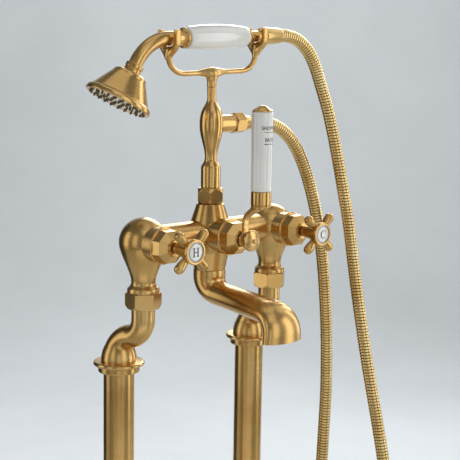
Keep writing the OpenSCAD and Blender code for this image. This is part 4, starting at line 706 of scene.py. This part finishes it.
class Field:
    """Signed distances (mm) on a grid, negative inside the casting."""

    def __init__(self, low, high, cell):
        self.low, self.high, self.cell = np.array(low, float), np.array(high, float), cell
        self.shape = np.ceil((self.high - self.low) / cell).astype(int) + 1
        self.value = np.full(self.shape, FAR)

    def empty(self):
        """A field of the same size with nothing in it."""
        return Field(self.low, self.high, self.cell)

    def join(self, low, high, distance, k):
        """Join a shape, whose distance is worked out inside the box low to high only."""
        a = np.clip(np.floor((np.array(low) - self.low) / self.cell).astype(int), 0, self.shape - 1)
        b = np.clip(np.ceil((np.array(high) - self.low) / self.cell).astype(int) + 1, 1, self.shape)
        x, y, z = np.meshgrid(*(self.low[i] + self.cell * np.arange(a[i], b[i]) for i in range(3)),
                              indexing="ij")
        part = (slice(a[0], b[0]), slice(a[1], b[1]), slice(a[2], b[2]))
        self.value[part] = rounded_min(self.value[part], distance(x, y, z), k)

    def bar(self, line, radii, k):
        """A round bar along a line of points."""
        made = self.empty()
        for p, q, r0, r1 in zip(line[:-1], line[1:], radii[:-1], radii[1:]):
            d = q - p

            def distance(x, y, z):
                t = np.clip(((x - p[0]) * d[0] + (y - p[1]) * d[1] + (z - p[2]) * d[2]) / d.dot(d), 0, 1)
                gap = np.sqrt((x - p[0] - t * d[0]) ** 2 + (y - p[1] - t * d[1]) ** 2
                              + (z - p[2] - t * d[2]) ** 2)
                return gap - (r0 + t * (r1 - r0))

            made.join(np.minimum(p, q) - BAR_MARGIN, np.maximum(p, q) + BAR_MARGIN, distance, SEGMENT_SEAM)
        self.value = rounded_min(self.value, made.value, k)

    def strap(self, line, wide, thick, k, soft=0.9):
        """A flat bar along a line: wide along x, thick across it, by segment."""
        made = self.empty()
        for i, (p, q) in enumerate(zip(line[:-1], line[1:])):
            d = q - p
            length = np.linalg.norm(d)
            d = d / length
            across = np.array((1.0, 0.0, 0.0)) - d * d[0]
            across /= np.linalg.norm(across)
            out = np.cross(d, across)
            middle = (p + q) / 2
            half = np.array((length / 2 + 0.35, wide[i] / 2, thick[i] / 2)) - soft

            def distance(x, y, z):
                gaps = [np.abs((x - middle[0]) * e[0] + (y - middle[1]) * e[1] + (z - middle[2]) * e[2]) - h
                        for e, h in zip((d, across, out), half)]
                outside = np.sqrt(sum(np.maximum(g, 0.0) ** 2 for g in gaps))
                return outside + np.minimum(np.maximum(np.maximum(gaps[0], gaps[1]), gaps[2]), 0.0) - soft

            made.join(np.minimum(p, q) - STRAP_MARGIN, np.maximum(p, q) + STRAP_MARGIN, distance, SEGMENT_SEAM)
        self.value = rounded_min(self.value, made.value, k)

    def skin(self):
        """Points (mm) and four-sided faces on the zero level."""
        f = self.value
        n = np.array(f.shape) - 1
        corner = {}
        for i in (0, 1):
            for j in (0, 1):
                for k in (0, 1):
                    corner[i, j, k] = f[i:i + n[0], j:j + n[1], k:k + n[2]]
        inside = sum((c < 0).astype(np.int8) for c in corner.values())
        mixed = (inside > 0) & (inside < 8)
        total = np.zeros((mixed.sum(), 3))
        count = np.zeros(mixed.sum())
        for at, value in corner.items():
            for axis in range(3):
                if at[axis]:
                    continue
                to = tuple(1 if i == axis else at[i] for i in range(3))
                a, b = value[mixed], corner[to][mixed]
                cut = (a < 0) != (b < 0)
                t = np.where(cut, a / np.where(cut, a - b, 1.0), 0.0)
                place = np.tile(np.array(at, float), (len(t), 1))
                place[:, axis] += t
                total += np.where(cut[:, None], place, 0.0)
                count += cut
        points = self.low + self.cell * (np.argwhere(mixed) + total / count[:, None])
        index = np.full(mixed.shape, -1)
        index[mixed] = np.arange(len(points))
        faces = []
        for axis in range(3):
            b, c = (axis + 1) % 3, (axis + 2) % 3
            ends = [slice(None)] * 3
            first, second = list(ends), list(ends)
            first[axis], second[axis] = slice(0, -1), slice(1, None)
            changes = np.argwhere((f[tuple(first)] < 0) != (f[tuple(second)] < 0))
            changes = changes[(changes[:, b] > 0) & (changes[:, c] > 0)]
            ring = []
            for db, dc in ((0, 0), (1, 0), (1, 1), (0, 1)):
                cell = changes.copy()
                cell[:, b] -= db
                cell[:, c] -= dc
                ring.append(index[cell[:, 0], cell[:, 1], cell[:, 2]])
            faces += [tuple(face) for face in np.stack(ring, axis=1).tolist() if min(face) >= 0]
        return points, faces


def build_cradle():
    """The cradle's stem, leaf, rod and two Y-shaped forks, in one casting."""
    field = Field((-66.0, -18.0, -18.0), (74.0, 18.0, 48.0), 0.55)
    leaf_half, leaf_r, rod_r, rod_middle, rod_half, seam = 23.0, 5.3, 2.6, 2.0, 39.0, -15.0
    throat, prong_w = 20.5, 6.6

    def rod(x, y, z):
        swell = np.where(np.abs(x) < leaf_half, 0.5 + 0.5 * np.cos(math.pi * x / leaf_half), 0.0)
        return np.maximum(np.sqrt(y * y + z * z) - rod_r - (leaf_r - rod_r) * swell,
                          np.abs(x - rod_middle) - rod_half)

    field.join((-44, -14, -14), (46, 14, 14), rod, 0.1)
    stem = np.array([(-0.47, 0, seam - 2.0), (-0.3, 0, -9.0), (-0.1, 0, -3.0)])
    field.bar(stem, (5.05, 5.1, 5.6), 5.0)
    field.value[:, :, :int((seam - field.low[2]) / field.cell) + 1] = FAR
    for side, root, arm, cup in ((-1, -37.0, -58.8, -57.0), (1, 41.0, 63.0, 65.0)):
        bend = curve((root, 0, 0), (root + side * 12.5, 0, 0.2), (arm - side * 0.4, 0, 7.0), (arm, 0, 20.0),
                     18)
        field.bar(np.array(bend), np.linspace(2.6, 2.9, len(bend)), 0.8)
        seat = 23.6 if side < 0 else 25.0
        fork = ((arm + cup) / 2, 0, throat)
        field.bar(np.array([(arm, 0, 17.0), fork, (cup, 0, seat)]), (3.0, 3.6, 4.4), 1.5)
        for way in (-1, 1):
            field.bar(np.array([fork, (cup, way * 6.0, seat + 2.6)]), (3.2, 2.8), 2.0)
            prong = np.array(curve((arm, way * 0.3, 16.0), (arm, way * 1.2, 22.0), (cup, way * 11.2, 24.0),
                                   (cup, way * 11.9, 33.0), 14)
                             + [(cup, way * 11.95, 38.0), (cup, way * 12.0, 44.0)])
            field.strap(prong, [prong_w] * len(prong), np.linspace(4.6, 4.1, len(prong)), 1.2)
    points, faces = field.skin()
    cradle = add_mesh("cradle_forks", [CRADLE @ (Vector(p) * MM) for p in points], faces)
    stand_in(cradle, brass_cast, "base", "brushed_brass", "cradle")


build_cradle()

DIVERTER = Matrix.Translation((0.0, BODY_Y, VALVE_Z)) @ Matrix.Rotation(math.radians(90.0), 4, "X")


def build_diverter():
    """The bent strap from the diverter's spindle up to the lever, and the cap with a nib in front of it."""
    low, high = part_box("diverter_cap")
    back, r = (BODY_Y - high.y) / MM, (high.x - low.x) / 2 / MM
    cap = ([(2.0, back), (6.0, back), (6.4, back + 5.4), (r - 1.6, back + 5.6), (r - 0.4, back + 6.0),
            (r, back + 6.7), (r, back + 8.3), (r - 0.2, back + 8.9), (r - 0.8, back + 9.3)]
           + curve((r - 1.4, back + 9.5), (7.0, back + 10.3), (4.5, back + 10.8), (2.2, back + 11.0), 8)
           + [(1.9, back + 11.2), (1.75, back + 12.2), (1.35, back + 12.9), (0.7, back + 13.2),
              (AXIS_R, back + 13.3), (AXIS_R, back + 4.2), (2.0, back + 4.2)])
    stand_in(revolve("diverter_cap_nib", cap, DIVERTER), brass_y, "diverter", "brushed_brass", "diverter_cap")

    low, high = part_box("lever_ferrule")
    foot, forward = (low.z - VALVE_Z) / MM, (BODY_Y - (low.y + high.y) / 2) / MM
    middle = back - 1.55
    disc_r, disc_half, seat_r, seat_half = 8.4, 1.5, 10.1, 1.1
    field = Field((-14.0, -12.0, middle - 5.0), (14.0, foot + 4.0, forward + 14.0), 0.5)

    def disc(x, y, z):
        return np.maximum(np.hypot(x, y) - disc_r, np.abs(z - middle) - disc_half)

    def seat(x, y, z):
        return np.maximum(np.hypot(x, z - forward) - seat_r, np.abs(y - foot + seat_half) - seat_half)

    line = np.array([(0, 1.0, middle), (0, 8.0, middle), (0, 15.0, middle), (0, 20.0, middle + 0.1)]
                    + curve((0, 22.5, middle + 0.5), (0, 25.5, middle + 2.2), (0, 30.5, middle + 10.5),
                            (0, foot - 3.2, forward - 4.0), 9) + [(0, foot - 2.2, forward)])
    wide = [8.4, 8.0, 7.6, 7.4] + list(np.linspace(7.4, 15.5, 10))
    thick = [3.2, 3.2, 3.3, 3.4] + list(np.linspace(3.5, 4.2, 10))
    field.join(field.low, field.high, disc, 0.1)
    field.strap(line, wide, thick, 1.6)
    field.join(field.low, field.high, seat, 1.6)
    top = int((foot - field.low[1]) / field.cell) + 1
    field.value[:, top:, :] = FAR
    points, faces = field.skin()
    strap = add_mesh("lever_strap_bent", [DIVERTER @ (Vector(p) * MM) for p in points], faces)
    stand_in(strap, brass_cast, "diverter", "brushed_brass", "lever_strap")


build_diverter()


# Spout: the loft of the CAD in finer steps

SPOUT_SEAT = 37.41


def spout_stations(wall):
    """Forward reach, height, heading below the horizontal, half width and half depth along the spout, in mm."""
    drop, bend, nose, slope, reach, run = 6.5, 18.0, 20.0, math.radians(5.0), 108.0, 7.0
    collar, arm_w, arm_h, mouth_w, mouth_h = 17.0, 16.15, 12.24, 25.0, 11.5
    arm_share, nose_share, lip = 0.55, 0.4, 0.44
    down = math.pi / 2
    turn = down - slope
    arm_x, arm_z = bend * (1 - math.cos(turn)), -drop - bend * math.sin(turn)
    nose_x = reach - nose * (1 - math.sin(slope))
    nose_z = arm_z - (nose_x - arm_x) * math.tan(slope)
    mouth_z = nose_z - nose * math.cos(slope)
    made = [(0.0, -drop / 2 if wall else 0.0, down, collar, collar)]
    steps = np.linspace(0, 1, 41)
    for t in steps:
        a = turn * t
        made.append((bend * (1 - math.cos(a)), -drop - bend * math.sin(a), down - a,
                     ease(collar, arm_w, t), ease(collar, arm_h, t)))
    for t in steps[1:-1]:
        made.append((arm_x + t * (nose_x - arm_x), arm_z + t * (nose_z - arm_z), slope,
                     arm_w + (mouth_w - arm_w) * arm_share * t * t, arm_h))
    for t in steps:
        a = slope + t * turn
        made.append((nose_x + nose * (math.sin(a) - math.sin(slope)),
                     nose_z - nose * (math.cos(slope) - math.cos(a)), a,
                     arm_w + (mouth_w - arm_w) * (arm_share + nose_share * t), ease(arm_h, mouth_h, t)))
    for t in np.linspace(0, 1, 9)[1:]:
        made.append((reach, mouth_z - run * t, down, mouth_w - (1 - t) * lip, mouth_h))
    return [(x, z, a, w - wall, h - wall) for x, z, a, w, h in made]


def build_spout():
    """A hollow spout from the tail in the hub over the round collar to the oval mouth."""
    sides, tail_r, tail_l, bore_r, groove, wall, rim_in = 96, 13.7, 11.0, 7.5, 1.6, 2.5, 0.5
    down, middle = math.pi / 2, tail_l / 2

    def round_at(r, z):
        return (0.0, z, down, r, r)

    outer, inner = spout_stations(0.0), spout_stations(wall)[::-1]
    rim = [(x, z, a, w - rim_in, h - rim_in) for x, z, a, w, h in outer[-1:]]
    rows = ([round_at(tail_r, tail_l), round_at(tail_r, middle + groove),
             round_at(tail_r - groove, middle + groove), round_at(tail_r - groove, middle - groove),
             round_at(tail_r, middle - groove), round_at(tail_r, 0.0)]
            + outer + rim + inner + [round_at(bore_r, inner[-1][1]), round_at(bore_r, tail_l)])
    place = Matrix.Translation((0.0, BODY_Y, VALVE_Z - SPOUT_SEAT * MM))
    points = []
    for x, z, a, w, h in rows:
        for c, s in circle(sides):
            rise = h * s
            points.append(place @ (Vector((w * c, -x - rise * math.sin(a), z + rise * math.cos(a))) * MM))
    spout = crisp(add_mesh("spout_smooth", points, ring_faces(0, len(rows), sides)))
    stand_in(spout, brass_cast, "base", "brushed_brass", "spout")


build_spout()


# Swan necks: the tube of the CAD in finer steps, flared into its foot

PIPE_X, PIPE_TOP, SWAN_YAW = 94.0, 671.0, 6.71


def build_swan_neck(name, pipe_x, yaw):
    """An S-bent tube with a flange at its top, flared into a domed foot with a spigot."""
    sides, r, bore, bend, reach, top = 96, 12.0, 10.0, math.radians(80.0), 34.2345, 67.3
    flange_r, flange_t, foot_r, foot_top, spigot_r, spigot_l = 14.1, 3.0, 18.5, 22.5, 14.45, 18.0
    flare_foot, flare_more = 18.3, 4.8
    turn_r = reach / (2 * (1 - math.cos(bend)))
    bend_z = 8.0
    bend_top = bend_z + 2 * turn_r * math.sin(bend)
    place = (Matrix.Translation((pipe_x * MM, 0.0, PIPE_TOP * MM))
             @ Matrix.Rotation(math.radians(yaw - 90.0), 4, "Z"))
    steps = np.linspace(0, bend, 33)
    line = ([(0.0, 0.0, 0.0)]
            + [(turn_r * (1 - math.cos(a)), bend_z + turn_r * math.sin(a), a) for a in steps]
            + [(reach - turn_r * (1 - math.cos(a)), bend_top - turn_r * math.sin(a), a) for a in steps[-2::-1]]
            + [(reach, top - flange_t, 0.0)])
    flare = [flare_foot] + [r + flare_more * (1 - a / bend) ** 2 for a in steps]
    flare += [r] * (len(line) - len(flare))
    tube = ([(x, z, a, wide) for (x, z, a), wide in zip(line, flare)]
            + [(reach, top - flange_t, 0.0, flange_r), (reach, top, 0.0, flange_r), (reach, top, 0.0, bore)]
            + [(x, z, a, bore) for x, z, a in line[::-1]])
    foot = ([(spigot_r, -spigot_l), (spigot_r, 0.0), (foot_r, 0.0)]
            + curve((foot_r, 1.5), (foot_r, 10.08), (14.0, 19.2), (9.0, foot_top), 24)
            + [(AXIS_R, foot_top), (AXIS_R, -spigot_l)])
    points, faces = [], []
    for rows in (tube, [(0.0, h, 0.0, wide) for wide, h in foot]):
        faces += ring_faces(len(points), len(rows), sides)
        for x, z, a, wide in rows:
            for c, s in circle(sides):
                across = wide * c
                at = Vector((x + across * math.cos(a), wide * s, z - across * math.sin(a)))
                points.append(place @ (at * MM))
    neck = crisp(add_mesh(name + "_smooth", points, faces))
    stand_in(neck, brass_cast, "base", "brushed_brass", name)


build_swan_neck("hot_swan_neck", -PIPE_X, SWAN_YAW)
build_swan_neck("cold_swan_neck", PIPE_X, -SWAN_YAW)


# Stage and light

COOL = (0.97, 0.985, 1.0)


def soft_lamp(name, place, aim, width, height, power, colour):
    """A rectangular lamp at a place, turned to its aim."""
    data = bpy.data.lights.new(name, "AREA")
    data.shape = "RECTANGLE"
    data.size, data.size_y = width, height
    data.energy = power
    data.color = colour
    lamp = bpy.data.objects.new(name, data)
    bpy.context.scene.collection.objects.link(lamp)
    lamp.location = place
    lamp.rotation_euler = (Vector(aim) - Vector(place)).to_track_quat("-Z", "Y").to_euler()


def build_stage():
    """A pale floor that sweeps up into a backdrop, turned to the camera."""
    depth = Vector((ahead.x, ahead.y, 0)).normalized()
    across = Vector((depth.y, -depth.x, 0))
    near, bend_at, bend_r, top, half = -3.0, 2.2, 1.4, 4.5, 5.0
    profile = [(near, 0.0)] + [(bend_at + bend_r * math.sin(a), bend_r - bend_r * math.cos(a))
                               for a in np.linspace(0, math.pi / 2, 17)] + [(bend_at + bend_r, top)]
    points = [depth * d + across * w + Vector((0, 0, z)) for d, z in profile for w in (-half, half)]
    faces = [(2 * i, 2 * i + 1, 2 * i + 3, 2 * i + 2) for i in range(len(profile) - 1)]
    stage = add_mesh("floor_and_backdrop", points, faces)
    look, tree, shader = new_material("pale_plaster")
    place = node(tree, "ShaderNodeTexCoord")
    mottle = node(tree, "ShaderNodeTexNoise", Scale=2.2, Detail=5.0, Roughness=0.6)
    tree.links.new(place.outputs["Object"], mottle.inputs["Vector"])
    tone = ramp(tree, mottle.outputs["Fac"], [(NOISE_LOW, (0.615, 0.640, 0.645)),
                                              (NOISE_HIGH, (0.675, 0.700, 0.705))])
    tree.links.new(tone, shader.inputs["Base Color"])
    shader.inputs["Roughness"].default_value = 0.7
    stage.data.materials.append(look)


build_stage()

world = bpy.data.worlds.new("studio")
world.use_nodes = True
background = world.node_tree.nodes["Background"]
background.inputs["Color"].default_value = (0.86, 0.90, 0.94, 1.0)
background.inputs["Strength"].default_value = 0.22
bpy.context.scene.world = world

MIDDLE = Vector((0.0, -0.05, 0.85))
FRONT = -Vector((ahead.x, ahead.y, 0.0)).normalized()
ASIDE = Vector((-FRONT.y, FRONT.x, 0.0))


def around(bearing, distance, height):
    """A place round the object: bearing in degrees from the camera's side, positive to its right."""
    a = math.radians(bearing)
    return MIDDLE + (FRONT * math.cos(a) + ASIDE * math.sin(a)) * distance + Vector((0, 0, height))


# Panels that face the object: bearing, distance and height above the middle, then the panel's own width and
# height, brightness and colour
PANELS = [
    ("right_panel", 86, 1.6, 0.15, 0.60, 1.7, 2.0, EVEN),
    ("right_top_panel", 120, 1.2, 1.25, 0.9, 0.8, 0.7, EVEN),
    ("right_back_panel", 122, 1.7, 0.25, 0.40, 1.6, 2.8, COOL),
    ("front_panel", 38, 1.7, 0.25, 0.90, 1.6, 1.2, EVEN),
    ("front_top_panel", 22, 0.9, 1.20, 1.1, 0.8, 0.75, EVEN),
    ("far_front_panel", 4, 2.6, 0.0, 1.0, 1.6, 0.7, EVEN),
    ("left_panel", -82, 1.7, 0.15, 0.75, 1.6, 1.2, EVEN),
    ("left_front_panel", -38, 1.8, 0.30, 0.70, 1.6, 0.85, EVEN),
    ("top_panel", 180, 0.10, 1.45, 1.2, 1.0, 0.6, EVEN),
    ("floor_panel", 0, 0.75, -0.78, 1.2, 0.6, 0.5, EVEN),
    ("back_window", 163, 2.0, 0.92, 1.6, 0.95, 5.4, COOL),
]
for name, bearing, distance, height, width, tall, glow, colour in PANELS:
    soft_lamp(name, around(bearing, distance, height), MIDDLE, width, tall,
              glow * math.pi * width * tall, colour)
soft_lamp("backdrop_lamp", around(180, 1.3, 1.55), around(180, 3.3, -0.1), 3.0, 0.7, 47.0, COOL)


def dark_card():
    """A dark card to the object's left and behind it, outside the photo's frame, for dark edges in the metal."""
    near, far = around(-101, 1.25, 0.0), around(-146, 1.45, 0.0)
    foot, head = -0.845, 0.85
    card = add_mesh("dark_card", [near + Vector((0, 0, foot)), far + Vector((0, 0, foot)),
                                  far + Vector((0, 0, head)), near + Vector((0, 0, head))], [(0, 1, 2, 3)])
    card.data.materials.append(ink)
    card.visible_camera = False


dark_card()

bpy.context.scene.view_settings.view_transform = "Standard"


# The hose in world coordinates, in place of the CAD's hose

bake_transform(hose)
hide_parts("shower_hose")
